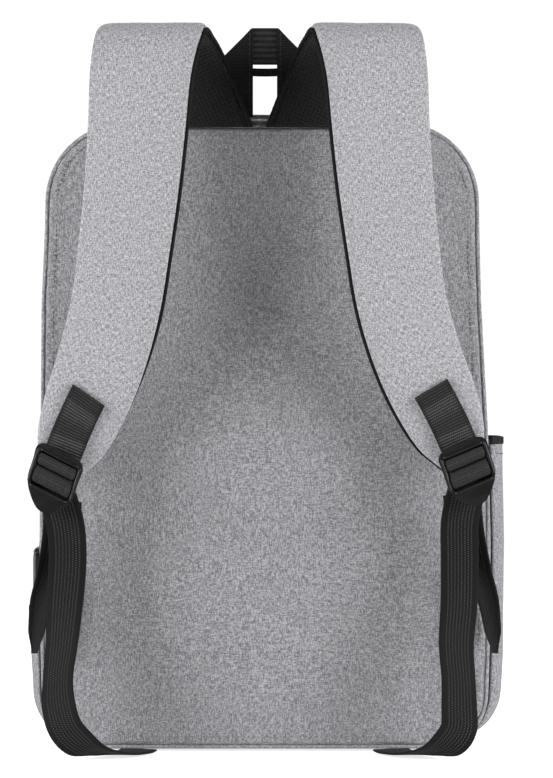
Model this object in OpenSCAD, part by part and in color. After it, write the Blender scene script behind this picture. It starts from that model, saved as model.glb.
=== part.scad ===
// Solar backpack: a slim padded day pack with two shoulder straps, a carry handle, a clamshell
// front with a solar panel, a front pocket, a bottle pocket and a side charging port.
// Millimetres, +Z up. The straps face -Y and the solar panel faces +Y. The origin is the centre of
// the base's rest face.

/* [Body] */
// Width of the body across its gussets
body_w = 300; // [296:1:304]
// Height from the floor to the top of the dome
body_h = 430; // [426:1:434]
// Thickness of the padded fabric wall
wall = 2.5; // [2:0.1:3]
// Depth of the crowned back panel
panel_t = 7; // [6.5:0.1:7.2]
// Height of the right pocket's mouth above the floor
pocket_top = 207; // [190:1:215]
// Height of the short left pocket's mouth above the floor
short_pocket_top = 93; // [84:1:94]

/* [Front lid and zip] */
// Distance of the main zip from the middle of the depth
zip_y = 32; // [28:1:34]
// Half of the gap that the two zip tapes fill
zip_half = 6; // [5:0.5:7]
// Height of the seam that the lid folds about
lid_z = 48; // [44:1:54]
// Radius of the zip's turn towards the front
zip_turn = 16; // [14:1:18]

/* [Solar panel] */
// Width of the panel over its border
solar_w = 230; // [220:1:236]
// Height of the panel over its border
solar_h = 180; // [160:1:184]
// Width of the fabric border
solar_border = 14; // [10:1:18]
// Cells across
cells_x = 4; // [2:1:5]
// Cells up
cells_z = 2; // [1:1:3]

/* [Straps] */
// Width of the webbing
webbing_w = 25; // [22:1:26]
// Thickness of the webbing
webbing_t = 1.6; // [1.2:0.1:1.8]
// How far the right strap leans in towards the middle
lean_in = 7.5; // [0:0.5:8]
// How much higher the right buckle sits
rise = 5; // [0:0.5:6]

/* [Hidden] */

LEFT = -1;
RIGHT = 1;
fabric_grey = [0.56, 0.57, 0.60];
gap = 0.3;
half_w = body_w / 2;
rear_y = -54.5;
front_y = 62;
back_y = rear_y - 7.5;
bottom_r = 38;
floor_gap = 2.5;
seam_z = 416;
panel_half_w = half_w - 4.5;
// Outlines that the body is skinned over: y, inset of each side, bottom, drop of the top, radius.
layers = [
    [rear_y, 5.5, 3.6, 12, 47],
    [-47, 1.5, 2.7, 6, 50],
    [-36, 0, floor_gap, 2.5, 52],
    [0, 0, floor_gap, 0, 54],
    [34, 0.5, floor_gap, 1.5, 53],
    [50, 2.5, floor_gap, 5, 51],
    [57, 6, 4, 10, 48],
    [front_y, 13, 10, 18, 42]];

// ---------- curves and bands ----------

function unit(v) = v / norm(v);
function ramp(x, a, b) = x <= a ? 0 : x >= b ? 1 : pow((x - a) / (b - a), 2) * (3 - 2 * (x - a) / (b - a));
function at(p, i) = p[min(max(i, 0), len(p) - 1)];
function knot(p, i, t) = let (a = at(p, i - 1), b = at(p, i), c = at(p, i + 1), d = at(p, i + 2))
    (2 * b + (c - a) * t + (2 * a - 5 * b + 4 * c - d) * t * t + (3 * b - a - 3 * c + d) * t * t * t) / 2;
function spline(p, n) = [for (i = [0:len(p) - 2]) for (k = [0:n - 1]) knot(p, i, k / n), p[len(p) - 1]];
function slice(p, a, b) = [for (i = [a:b]) p[i]];
function place(p) = [p[0], p[1], p[2]];
function tangent(p, i) = unit(place(at(p, i + 1)) - place(at(p, i - 1)));
// Normal of a band whose width runs across X, then turned by its twist about the tangent.
function flat_normal(t) = unit([0, t[2], -t[1]]);
function turned(n, t, a) = n * cos(a) + cross(t, n) * sin(a);
function band_ring(p, i, section) = let (t = tangent(p, i), n = turned(flat_normal(t), t, p[i][4]),
    w = cross(n, t)) [for (s = section) place(p[i]) + w * s[0] * p[i][3] + w * s[2] + n * s[1]];

// Sweeps a convex section along a path of [x, y, z, half width, twist]. A section point is
// [share of the half width, distance along the normal, extra distance across]. The section's
// thickness starts at the share called start and is whole from ring 7 on.
module band(path, section, start = 1) {
    n = len(section);
    rings = len(path);
    points = [for (i = [0:rings - 1]) let (k = start + (1 - start) * ramp(i, 0, 7))
        each band_ring(path, i, [for (q = section) [q[0], q[1] * k, q[2]]])];
    sides = [for (i = [0:rings - 2]) for (k = [0:n - 1]) let (a = i * n + k, b = i * n + (k + 1) % n)
        each [[a, b, b + n], [a, b + n, a + n]]];
    low = [for (k = [1:n - 2]) [0, k + 1, k]];
    high = [for (k = [1:n - 2]) let (e = (rings - 1) * n) [e, e + k, e + k + 1]];
    polyhedron(points, concat(sides, low, high), convexity = 8);
}

function strip(lo, hi) = [[-1, lo, 0], [-1, hi, 0], [1, hi, 0], [1, lo, 0]];
cover_section = [[-1, -1, 0], [-1, 1.6, 0], [-0.8, 4.6, 0], [0, 6, 0], [0.8, 4.6, 0], [1, 1.6, 0],
    [1, -1, 0], [0, -1, 0]];
full_section = [[-1, -3.2, 0], [-1, 1.6, 0], [-0.8, 4.6, 0], [0, 6, 0], [0.8, 4.6, 0], [1, 1.6, 0],
    [1, -3.2, 0]];
mesh_section = [[-0.96, -3.2, 0], [-0.96, -1.6, 0], [0, -1.6, 0], [0.96, -1.6, 0], [0.96, -3.2, 0]];
function edge_section(s) = s > 0
    ? [[1, -2.2, 0.1], [1, 1.4, 0.1], [1, 1.4, 2.1], [1, -2.2, 2.1]]
    : [[-1, -2.2, -2.1], [-1, 1.4, -2.1], [-1, 1.4, -0.1], [-1, -2.2, -0.1]];

// A route drawn for the left side, put on the left or the right. The right strap leans in and its
// buckle sits higher, as straps that were adjusted one at a time do.
function hung_x(x, z, s) = s < 0 ? -x : x - lean_in * ramp(z, 60, 300);
function hung_z(z, s) = s < 0 ? z : z + rise * (ramp(z, 60, 180) - ramp(z, 210, 330));
function hung(p, s) = [for (q = p) [hung_x(q[0], q[2], s), q[1], hung_z(q[2], s), q[3], s * q[4]]];

// ---------- body ----------

module corner_discs(l, i) {
    hw = half_w - l[1] - i;
    top = body_h - l[3] - i;
    rt = max(l[4] - i, 4);
    rb = max(bottom_r - l[1] - i, 4);
    for (s = [LEFT, RIGHT]) {
        translate([s * (hw - rt), 0, top - rt]) rotate([90, 0, 0]) cylinder(r = rt, h = 0.01, $fn = 40);
        translate([s * (hw - rb), 0, l[2] + i + rb]) rotate([90, 0, 0]) cylinder(r = rb, h = 0.01, $fn = 32);
    }
}

// The body's closed form, inset by i, with its open rear drawn out by rear.
module form(i, rear = 0) {
    hull() for (l = layers)
        translate([0, l[0] > 0 ? l[0] - i : l[0] == rear_y ? rear_y - rear : l[0] + i, 0]) corner_discs(l, i);
}

module skin(outer, inner) {
    difference() {
        form(outer);
        form(inner, 1);
    }
}

module side_view_extrude() {
    rotate([90, 0, 90]) linear_extrude(2 * body_w, center = true) children();
}

// The lid's region seen from the side, grown by d. In front of strip_y it ends at the fold seam.
strip_y = 52;
module lid_profile(d, fold) {
    r = zip_turn + d;
    intersection() {
        translate([zip_y - d, lid_z - d]) union() {
            translate([r, 0]) square([200, 2 * body_h]);
            translate([0, r]) square([200, 2 * body_h]);
            translate([r, r]) circle(r, $fn = 48);
        }
        translate([-200, 0]) square([200 + strip_y, 2 * body_h]);
    }
    translate([strip_y - 0.01, lid_z + fold]) square([200, 2 * body_h]);
}

module bag_side(d) {
    difference() {
        translate([-body_w, rear_y - 1, -10]) cube([2 * body_w, 200, 2 * body_h]);
        side_view_extrude() lid_profile(d, -0.5);
    }
}

module lid_side(d) {
    side_view_extrude() lid_profile(-d, 0.5);
}

module rounded_plate(w, h, t, r) {
    linear_extrude(t) rounded_rect(w, h, r);
}

module rounded_rect(w, h, r) {
    square([w - 2 * r, h], center = true);
    square([w, h - 2 * r], center = true);
    for (x = [-1, 1], y = [-1, 1]) translate([x * (w / 2 - r), y * (h / 2 - r)]) circle(r, $fn = 32);
}

// A plate that stands upright: centred on x, from z0 up by h, from y0 back by t.
module upright_plate(w, h, t, r, x, y0, z0) {
    translate([x, y0 + t, z0 + h / 2]) rotate([90, 0, 0]) rounded_plate(w, h, t, r);
}

// A round cord round an outline of half width hw from z0 to z1. Without a bottom it is open there.
module cord_outline(hw, z0, z1, rt, rb, r, y, closed) {
    foot = closed ? z0 + rb : z0;
    for (s = [LEFT, RIGHT]) {
        translate([s * hw, y, foot]) cylinder(r = r, h = z1 - rt - foot, $fn = 24);
        translate([s * (hw - rt), y, z1 - rt]) rotate([90, 0, s > 0 ? 0 : 180])
            mirror([0, 0, s > 0 ? 0 : 1]) rotate_extrude(angle = 90, $fn = 48)
                translate([rt, 0]) circle(r, $fn = 24);
        if (closed) translate([s * (hw - rb), y, z0 + rb]) rotate([90, 90, s > 0 ? 0 : 180])
            mirror([0, 0, s > 0 ? 0 : 1]) rotate_extrude(angle = 90, $fn = 48)
                translate([rb, 0]) circle(r, $fn = 24);
    }
    translate([-(hw - rt), y, z1]) rotate([0, 90, 0]) cylinder(r = r, h = 2 * (hw - rt), $fn = 24);
    if (closed) translate([-(hw - rb), y, z0]) rotate([0, 90, 0])
        cylinder(r = r, h = 2 * (hw - rb), $fn = 24);
}

module back_panel() {
    z0 = 5;
    steps = [[back_y, 8], [back_y + 2, 3], [back_y + 5, 0]];
    thick = 0.5;
    rt = 48;
    rb = 32;
    color(fabric_grey) {
        hull() for (l = steps) for (s = [LEFT, RIGHT]) {
            translate([s * (panel_half_w - rt), l[0] + thick, seam_z - rt]) rotate([90, 0, 0])
                cylinder(r = rt - l[1], h = thick, $fn = 32);
            translate([s * (panel_half_w - rb), l[0] + thick, z0 + rb]) rotate([90, 0, 0])
                cylinder(r = rb - l[1], h = thick, $fn = 32);
        }
        hull() for (s = [LEFT, RIGHT]) {
            translate([s * (panel_half_w - rt), back_y + panel_t, seam_z - rt]) rotate([90, 0, 0])
                cylinder(r = rt, h = panel_t - 5.3, $fn = 32);
            translate([s * (panel_half_w - rb), back_y + panel_t, z0 + rb]) rotate([90, 0, 0])
                cylinder(r = rb, h = panel_t - 5.3, $fn = 32);
        }
    }
}

module rear_shell() {
    color(fabric_grey) intersection() {
        skin(0, wall);
        bag_side(zip_half);
    }
}

lining_t = 0.8;
lining_inset = wall + 0.2;
lining_back = rear_y + gap;
module bag_lining() {
    color([0.12, 0.12, 0.13]) intersection() {
        union() {
            difference() {
                form(lining_inset);
                form(lining_inset + lining_t, 1);
            }
            intersection() {
                form(lining_inset + lining_t - 0.1);
                translate([-body_w, lining_back, 0]) cube([2 * body_w, lining_t, body_h]);
            }
        }
        bag_side(zip_half + 1);
        translate([-body_w, lining_back, 0]) cube([2 * body_w, 200, body_h]);
    }
}

piping_r = 2.1;
module back_piping() {
    hw = panel_half_w + gap + piping_r;
    color([0.45, 0.46, 0.48]) cord_outline(hw, 5 - gap - piping_r, seam_z + gap + piping_r, 50.4, 34.4,
        piping_r, rear_y - gap - piping_r - 0.2, true);
}

module base_panel() {
    color([0.4, 0.41, 0.43]) translate([0, 2, 0]) rounded_plate(250, 92, floor_gap - gap, 14);
}

module base_board() {
    color([0.2, 0.2, 0.2]) translate([0, -8, floor_gap + wall + 1.5]) rounded_plate(232, 66, 2, 10);
}

sleeve_y = -38;
sleeve_top = 300;
sleeve_back = lining_back + lining_t + gap;
module laptop_sleeve() {
    color([0.15, 0.15, 0.16]) {
        upright_plate(252, sleeve_top - 12, 5, 24, 0, sleeve_y, 12);
        for (s = [LEFT, RIGHT]) translate([s * 119 - 5, sleeve_back, 60])
            cube([10, sleeve_y - sleeve_back, sleeve_top - 90]);
    }
}

module sleeve_strap() {
    color([0.05, 0.05, 0.05]) {
        translate([-19, sleeve_back, sleeve_top + 30]) cube([38, 1.6, 50]);
        translate([-19, sleeve_back, sleeve_top + 28.4]) cube([38, sleeve_y + 7 - sleeve_back, 1.6]);
        translate([-19, sleeve_y + 5 + gap, sleeve_top - 40]) cube([38, 1.7, 70]);
    }
}

// ---------- main zip ----------

module tape_ring(top_inset, depth) {
    difference() {
        form(top_inset);
        form(top_inset + depth, 1);
    }
}

module rear_zip_tape() {
    color([0.06, 0.06, 0.06]) {
        intersection() {
            tape_ring(0.5, 1.4);
            side_view_extrude() difference() {
                lid_profile(zip_half - 0.1, -0.5);
                lid_profile(1.7, 0);
                translate([strip_y - 1, 0]) square([200, body_h]);
            }
        }
        intersection() {
            tape_ring(-0.5, 2.4);
            side_view_extrude() difference() {
                lid_profile(1.8, -0.5);
                lid_profile(0.15, 0);
                translate([strip_y - 1, 0]) square([200, body_h]);
            }
        }
    }
}

module front_zip_tape() {
    color([0.06, 0.06, 0.06]) {
        intersection() {
            tape_ring(0.5, 1.4);
            side_view_extrude() difference() {
                lid_profile(-1.7, 0.5);
                lid_profile(-zip_half + 0.1, 0);
                translate([strip_y - 1, 0]) square([200, body_h]);
            }
        }
        intersection() {
            tape_ring(-0.5, 2.4);
            side_view_extrude() difference() {
                lid_profile(-0.15, 0.5);
                lid_profile(-1.8, 0);
                translate([strip_y - 1, 0]) square([200, body_h]);
            }
        }
    }
}

// A slider and its pull, on a coil that runs along X with its top at z = 0.
slider_l = 11;
pull_axis = 3.9;
module slider_body() {
    color([0.3, 0.3, 0.32]) {
        translate([0, 0, 1]) linear_extrude(1.6) rounded_rect(slider_l, 9, 2);
        for (x = [-3.5, 2.1]) translate([x, -1, 2.5]) cube([1.4, 2, 2.8]);
        translate([-3.5, -1, 5.2]) cube([7, 2, 1]);
    }
}

// The pull's eye passes under the bridge, and its grip points along dir.
module pull_body(dir) {
    color([0.05, 0.05, 0.05]) translate([0, 0, pull_axis]) {
        rotate([90, 0, 0]) cylinder(r = 0.8, h = 6.2, center = true, $fn = 24);
        for (y = [-2.3, 2.3]) translate([dir > 0 ? 0 : -15, y - 0.8, -0.8]) cube([15, 1.6, 1.6]);
        translate([dir * 26, 0, -1.1]) linear_extrude(2.2) rounded_rect(25, 8, 2.5);
    }
}

module on_main_zip(x) {
    translate([x, zip_y, coil_top]) children();
}

coil_top = body_h - 1.4 + 0.5;
slider_x = 16;

// ---------- side pocket and charging port ----------

pocket_foot = 36;
pocket_cloth = 1.6;
pocket_y = -48;
pocket_l = 70;
hem_h = 3.5;
// The solid that a side pocket is cut from, on the right side.
module pocket_block(inset, high) {
    hull() for (l = [[inset, 3.5], [26, 9.5], [high - pocket_foot, 11.5]])
        translate([half_w - 1, pocket_y + inset, pocket_foot + l[0]])
            cube([l[1] - inset, pocket_l - 2 * inset, 1]);
}

module side_pocket(high) {
    color(fabric_grey) difference() {
        pocket_block(0, high - 1);
        pocket_block(pocket_cloth, high + 2);
        form(-gap);
        translate([0, -100, pocket_foot]) cube([half_w + gap + 0.1, 200, 300]);
    }
}

module side_hem(high) {
    color([0.04, 0.04, 0.04]) difference() {
        translate([half_w + 0.5, pocket_y, high + gap]) cube([10, pocket_l, hem_h]);
        translate([half_w, pocket_y + pocket_cloth, high - 1])
            cube([10.5 - pocket_cloth, pocket_l - 2 * pocket_cloth, 8]);
    }
}

port_y = 4;
port_z = 119;
port_x = -(half_w + gap);
cap_axis = 12.2;
cap_out = 6.4;
pin_r = 0.75;
// A plate on the left side: length up, width along y, t thick, starting d out from the body.
module side_plate(d, t, up, along, r, z) {
    translate([port_x - d, port_y, port_z + z]) rotate([0, -90, 0]) rounded_plate(up, along, t, r);
}

module along_cap_axis(r, h, y) {
    translate([port_x - cap_out, port_y + y, port_z + cap_axis]) rotate([90, 0, 0])
        cylinder(r = r, h = h, center = true, $fn = 32);
}

module usb_housing() {
    color([0.05, 0.05, 0.05]) difference() {
        union() {
            side_plate(0, 4.5, 38, 30, 6, 0);
            side_plate(4.4, 2.6, 26, 24, 4, -3);
            for (y = [-9.5, 9.5]) {
                along_cap_axis(1.4, 3, y);
                translate([port_x - cap_out, port_y + y - 1.5, port_z + cap_axis - 1.4]) cube([2.2, 3, 2.8]);
            }
            along_cap_axis(pin_r, 20, 0);
        }
        translate([port_x - 8, port_y - 7.1, port_z - 10.3]) cube([9, 14.2, 14.2]);
    }
}

module usb_socket() {
    color([0.75, 0.75, 0.77]) translate([port_x - 6.6, port_y, port_z - 3.2]) {
        difference() {
            translate([0, -6.8, -3.2]) cube([6.4, 13.6, 6.4]);
            translate([-1, -6.4, -2.6]) cube([6.6, 12.8, 5.2]);
        }
        translate([0.6, -5.5, 1.4]) cube([5.1, 11, 1.1]);
    }
}

module usb_cap() {
    color([0.35, 0.36, 0.38]) difference() {
        union() {
            side_plate(7.3, 1.6, 25, 23, 4, -3);
            translate([port_x - 8.9, port_y - 7.5, port_z + 5]) cube([1.6, 15, cap_axis - 5]);
            along_cap_axis(1.9, 15, 0);
        }
        along_cap_axis(pin_r + 0.05, 30, 0);
    }
}

// ---------- top of the back ----------

yoke_z = seam_z + 2 * piping_r + 2 * gap;
yoke_t = 1.2;
module strap_yoke() {
    color([0.05, 0.05, 0.05]) translate([-76, -63, yoke_z]) cube([152, 7.4, yoke_t]);
}

handle_z = 483;
handle_y = -57;
module carry_handle() {
    leg_in = 8;
    leg_out = leg_in + webbing_w;
    foot = yoke_z + yoke_t + 1.6;
    color([0.05, 0.05, 0.05]) translate([0, handle_y + webbing_t / 2, 0]) rotate([90, 0, 0])
        linear_extrude(webbing_t) difference() {
            union() {
                polygon([[-leg_out, foot], [leg_out, foot], [leg_out, handle_z - 26],
                    [10, handle_z - 3], [-10, handle_z - 3], [-leg_out, handle_z - 26]]);
                for (s = [LEFT, RIGHT]) translate([s * 6, handle_z - 9]) circle(9, $fn = 48);
                translate([-6, handle_z - 9]) square([12, 9]);
            }
            translate([-leg_in, foot - 1]) square([2 * leg_in, handle_z - 23 - foot + 1]);
        }
}

module hang_loop() {
    color([0.05, 0.05, 0.05]) translate([0, handle_y + webbing_t / 2 + gap, handle_z - 31])
        translate([-20, 0, 0]) cube([40, 1.2, 5]);
}

// ---------- lid ----------

module lid_hinge_piping() {
    color([0.4, 0.41, 0.43]) translate([-118, front_y + 2.2, lid_z]) rotate([0, 90, 0])
        cylinder(r = 1.6, h = 236, $fn = 24);
}

lead_x = 62;
lead_z = 232;
module front_shell() {
    color(fabric_grey) difference() {
        intersection() {
            skin(0, wall);
            lid_side(zip_half);
        }
        translate([lead_x, front_y - 8, lead_z]) rotate([-90, 0, 0]) cylinder(r = 4.3, h = 20, $fn = 24);
    }
}

module lid_lining() {
    color([0.12, 0.12, 0.13]) difference() {
        intersection() {
            difference() {
                form(lining_inset);
                form(lining_inset + lining_t, 1);
            }
            lid_side(zip_half + 1);
        }
        translate([lead_x, front_y - 12, lead_z]) rotate([-90, 0, 0]) cylinder(r = 4.3, h = 20, $fn = 24);
    }
}

module front_piping() {
    color([0.45, 0.46, 0.48]) cord_outline(half_w - 4.4, lid_z + 8, body_h - 7.5, 48.5, 0, 2, 58.4, false);
}

panel_y = front_y + 0.3;
solar_z = 214;
module solar_backing() {
    color([0.05, 0.05, 0.05]) difference() {
        upright_plate(solar_w, solar_h, 1.5, 9, 0, panel_y, solar_z);
        translate([lead_x, panel_y - 1, lead_z]) rotate([-90, 0, 0]) cylinder(r = 2, h = 1.8, $fn = 24);
    }
}

window_w = solar_w - 2 * solar_border;
window_h = solar_h - 2 * solar_border;
module solar_border() {
    color([0.07, 0.07, 0.07]) difference() {
        upright_plate(solar_w, solar_h, 1.6, 9, 0, panel_y + 1.6, solar_z);
        upright_plate(window_w, window_h, 4, 3, 0, panel_y + 1, solar_z + solar_border);
    }
}

cell_gap = 2.4;
cell_w = (window_w - 6 - (cells_x - 1) * cell_gap) / cells_x;
cell_h = (window_h - 6 - (cells_z - 1) * cell_gap) / cells_z;
module solar_cells() {
    color([0.03, 0.04, 0.10]) for (i = [0:cells_x - 1], k = [0:cells_z - 1])
        translate([(i - (cells_x - 1) / 2) * (cell_w + cell_gap), panel_y + 2.1,
            solar_z + solar_h / 2 + (k - (cells_z - 1) / 2) * (cell_h + cell_gap)])
            rotate([90, 0, 0]) linear_extrude(0.5) difference() {
                square([cell_w, cell_h], center = true);
                for (x = [-1, 1], y = [-1, 1]) translate([x * cell_w / 2, y * cell_h / 2])
                    rotate(45) square(5, center = true);
            }
}

module solar_film() {
    color([0.6, 0.65, 0.7, 0.3])
        upright_plate(window_w - 0.4, window_h - 0.4, 0.6, 2.8, 0, panel_y + 2.2,
            solar_z + solar_border + 0.2);
}

module solar_rivets() {
    inset = solar_border / 2;
    color([0.7, 0.7, 0.72]) for (x = [-1, 1], z = [-1, 1])
        translate([x * (solar_w / 2 - inset), panel_y + 3.3,
            solar_z + solar_h / 2 + z * (solar_h / 2 - inset)])
            rotate([-90, 0, 0]) {
                cylinder(r = 3.8, h = 0.6, $fn = 32);
                translate([0, 0, 0.6]) cylinder(r1 = 2.6, r2 = 1.8, h = 0.8, $fn = 32);
            }
}

lid_inner_y = front_y - lining_inset - lining_t;
module regulator_box() {
    color([0.06, 0.06, 0.06]) difference() {
        upright_plate(44, 26, 8.5, 3, lead_x, lid_inner_y - 9, 158);
        translate([lead_x - 6.6, lid_inner_y - 7.6, 150]) cube([13.2, 5.6, 16]);
    }
}

module lead_grommet() {
    color([0.05, 0.05, 0.05]) translate([lead_x, front_y - 4.2, lead_z]) rotate([-90, 0, 0]) difference() {
        cylinder(r = 4, h = 4.2, $fn = 32);
        translate([0, 0, -1]) cylinder(r = 1.9, h = 8, $fn = 32);
    }
}

module lid_mesh_pocket() {
    y0 = lid_inner_y - 14;
    color([0.1, 0.1, 0.1]) {
        upright_plate(210, 130, 1.2, 8, 0, y0, 76);
        for (s = [LEFT, RIGHT]) translate([s * 103 - 1, y0 + 1.2, 90]) cube([2, 12, 100]);
        translate([-94, y0 + 1.2, 77]) cube([188, 12, 2]);
    }
}

// ---------- front pocket ----------

pocket_w = 236;
pocket_z0 = 60;
pocket_z1 = 192;
module pocket_form(i) {
    hull() for (l = [[0, 0], [8, 0], [13, 4], [15.5, 12]]) for (x = [-1, 1], z = [0, 1])
        translate([x * (pocket_w / 2 - l[1] - 14), panel_y + (l[0] == 0 ? -i : l[0] - i),
            z > 0 ? pocket_z1 - l[1] - 14 : pocket_z0 + l[1] + 14])
            rotate([90, 0, 0]) cylinder(r = 14 - i, h = 0.01, $fn = 32);
}

module front_pocket() {
    color(fabric_grey) difference() {
        pocket_form(0);
        pocket_form(1.8);
    }
}

pocket_zip_z = 199;
module pocket_zip_tape() {
    color([0.06, 0.06, 0.06]) {
        translate([-108, panel_y, pocket_zip_z - 6]) cube([216, 0.8, 12]);
        translate([-104, panel_y + 0.7, pocket_zip_z - 1.6]) cube([208, 1.4, 3.2]);
    }
}

pocket_slider_x = 96;
module on_pocket_zip() {
    translate([pocket_slider_x, panel_y + 2.1, pocket_zip_z]) rotate([-90, 0, 0]) children();
}

// ---------- straps ----------

strap_steps = 4;
strap_route = [
    [30, -61.5, 404, 30, 0], [53, -65, 442, 32, 0], [65, -74, 464, 33, 0], [72, -92, 476, 34, 0],
    [77, -109, 468, 34, 0], [80.5, -118, 446, 33, 0], [82.5, -120, 415, 32, 0],
    [86, -118, 375, 31, 0], [91, -113, 335, 30, 0], [97, -106, 297, 29.5, 0],
    [107, -98, 260, 29, 0], [119, -90, 228, 27.5, 0], [129, -84, 202, 22, 0], [133, -81, 184, 10, 0]];
top_index = 3 * strap_steps;
last_index = (len(strap_route) - 1) * strap_steps;
function strap_path(s) = spline(hung(strap_route, s), strap_steps);
function riser_path(s) = slice(strap_path(s), 0, top_index);
function pad_path(s) = let (p = strap_path(s), e = p[top_index], f = p[top_index + 1])
    concat([e + (f - e) * 0.35], slice(p, top_index + 1, last_index));

// The cover thins towards the seam, where it is sewn flat just above the yoke.
module strap_riser(s) {
    color(fabric_grey) difference() {
        band(riser_path(s), full_section, 0.3);
        translate([-body_w, -100, 0]) cube([2 * body_w, 100, yoke_z + yoke_t + gap]);
    }
}

module strap_pad(s) {
    color(fabric_grey) band(pad_path(s), cover_section);
}

module strap_mesh(s) {
    color([0.04, 0.04, 0.04]) band(pad_path(s), mesh_section);
}

module strap_binding(s) {
    p = pad_path(s);
    color([0.04, 0.04, 0.04]) {
        band(p, edge_section(1));
        band(p, edge_section(-1));
    }
}

// ---------- ladder lock, in its own frame: x across, y out of the strap, z down its length -------

lock_tilt = 21;
lock_w = 37;
lock_y = -99.7;
bar_a = 10.5;
bar_b = 21;
bar_r = 2;
function lock_x(s) = hung_x(132.5, 201, s);
function lock_z(s) = hung_z(201, s);

module at_lock(s) {
    translate([lock_x(s), lock_y, lock_z(s)]) rotate([0, s > 0 ? -lock_tilt : lock_tilt, 0]) children();
}

module lock_outline() {
    difference() {
        union() {
            translate([0, -13]) rounded_rect(lock_w, 26, 6);
            polygon([[-lock_w / 2, -14], [-12, -38], [12, -38], [lock_w / 2, -14]]);
            translate([-8, -37]) circle(5, $fn = 32);
            translate([8, -37]) circle(5, $fn = 32);
            translate([-8, -42]) square([16, 8]);
        }
        translate([0, -15.6]) rounded_rect(28, 21.8, 2);
    }
}

module ladder_lock(s) {
    color([0.05, 0.05, 0.055]) at_lock(s) {
        rotate([90, 0, 0]) translate([0, 0, -3.3]) linear_extrude(5) lock_outline();
        for (z = [bar_a, bar_b]) translate([0, 0, -z]) rotate([0, 90, 0])
            cylinder(r = bar_r, h = 29, center = true, $fn = 32);
    }
}

// A turn of webbing round a bar, open at the back where the webbing comes in and leaves.
module bar_turn(s, z) {
    at_lock(s) translate([0, 0, -z]) rotate([0, 90, 0]) difference() {
        cylinder(r = bar_r + gap + webbing_t, h = webbing_w, center = true, $fn = 48);
        cylinder(r = bar_r + gap, h = webbing_w + 2, center = true, $fn = 48);
    }
}

tape_route = [[115, -99.8, 238, 12.5, 0], [120, -97.2, 228, 12.5, 0], [126.5, -94.2, 214, 12.5, 0],
    [131, -92.5, 203, 12.5, 0], [133.4, -92.2, 197.5, 12.5, 5], [135.6, -95.4, 192, 12.5, 12]];
module anchor_tape(s) {
    color([0.05, 0.05, 0.05]) {
        band(spline(hung(tape_route, s), 4), strip(-webbing_t / 2, webbing_t / 2));
        bar_turn(s, bar_a);
    }
}

module webbing_wrap(s) {
    color([0.05, 0.05, 0.05]) bar_turn(s, bar_b);
}

webbing_steps = 6;
web_half = webbing_w / 2;
run_lean = 8.5;
web_route = [
    [84, -62.6, 1.6, web_half, 0], [88, -76, 1.7, web_half, 0], [101, -95, 3.2, web_half, 0],
    [116, -107, 8.5, web_half, 6], [128.5, -110.5, 20, web_half, 18], [134, -108, 36, web_half, 26],
    [135, -101, 53, web_half, 34], [133, -96, 75, web_half, 28], [131.3, -92, 100, web_half, 14],
    [129.5, -90, 128, web_half, 0], [130.5, -89, 150, web_half, 0], [135, -89.6, 168, web_half, 0]];
// The right run stands nearer the middle low down, and is turned less.
function web_points(s) = s < 0 ? web_route : [for (q = web_route)
    [q[0] - run_lean * (ramp(q[2], 5, 45) - ramp(q[2], 60, 130)), q[1], q[2], q[3], 0.7 * q[4]]];
function web_path(s) = spline(hung(web_points(s), s), webbing_steps);
loop_end = 5 * webbing_steps;
run_end = 9 * webbing_steps + 1;

module webbing_loop(s) {
    color([0.05, 0.05, 0.05]) band(slice(web_path(s), 0, loop_end), strip(-webbing_t / 2, webbing_t / 2));
}

module webbing_run(s) {
    color([0.05, 0.05, 0.05])
        band(slice(web_path(s), loop_end + 2, run_end), strip(-webbing_t / 2, webbing_t / 2));
}

tail_route = [[133, -84.5, 168, web_half, 0], [134.5, -82, 144, web_half, 12], [140, -78, 122, web_half, 35],
    [148.5, -74, 100, web_half, 60], [152.5, -74.5, 67, web_half, 75]];
module webbing_tail(s) {
    color([0.05, 0.05, 0.05])
        band(spline(hung(tail_route, s), 5), strip(-webbing_t / 2, webbing_t / 2));
}

back_panel();
rear_shell();
bag_lining();
back_piping();
base_panel();
base_board();
laptop_sleeve();
sleeve_strap();
rear_zip_tape();
mirror([1, 0, 0]) side_pocket(short_pocket_top);  // left_side_pocket
mirror([1, 0, 0]) side_hem(short_pocket_top);  // left_pocket_hem
side_pocket(pocket_top);  // right_side_pocket
side_hem(pocket_top);  // right_pocket_hem
usb_housing();
usb_socket();
usb_cap();
strap_yoke();
carry_handle();
hang_loop();
lid_hinge_piping();
front_shell();
lid_lining();
front_piping();
front_zip_tape();
solar_backing();
solar_cells();
solar_film();
solar_border();
solar_rivets();
regulator_box();
lead_grommet();
lid_mesh_pocket();
front_pocket();
pocket_zip_tape();
on_pocket_zip() slider_body();  // pocket_slider
on_pocket_zip() pull_body(-1);  // pocket_pull
on_main_zip(-slider_x) slider_body();  // left_zip_slider
on_main_zip(-slider_x) pull_body(-1);  // left_zip_pull
on_main_zip(slider_x) slider_body();  // right_zip_slider
on_main_zip(slider_x) pull_body(1);  // right_zip_pull
strap_riser(LEFT);  // left_strap_riser
strap_pad(LEFT);  // left_strap_pad
strap_mesh(LEFT);  // left_strap_mesh
strap_binding(LEFT);  // left_strap_binding
anchor_tape(LEFT);  // left_anchor_tape
ladder_lock(LEFT);  // left_ladder_lock
webbing_wrap(LEFT);  // left_webbing_wrap
webbing_tail(LEFT);  // left_webbing_tail
webbing_run(LEFT);  // left_webbing_run
webbing_loop(LEFT);  // left_webbing_loop
strap_riser(RIGHT);  // right_strap_riser
strap_pad(RIGHT);  // right_strap_pad
strap_mesh(RIGHT);  // right_strap_mesh
strap_binding(RIGHT);  // right_strap_binding
anchor_tape(RIGHT);  // right_anchor_tape
ladder_lock(RIGHT);  // right_ladder_lock
webbing_wrap(RIGHT);  // right_webbing_wrap
webbing_tail(RIGHT);  // right_webbing_tail
webbing_run(RIGHT);  // right_webbing_run
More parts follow.
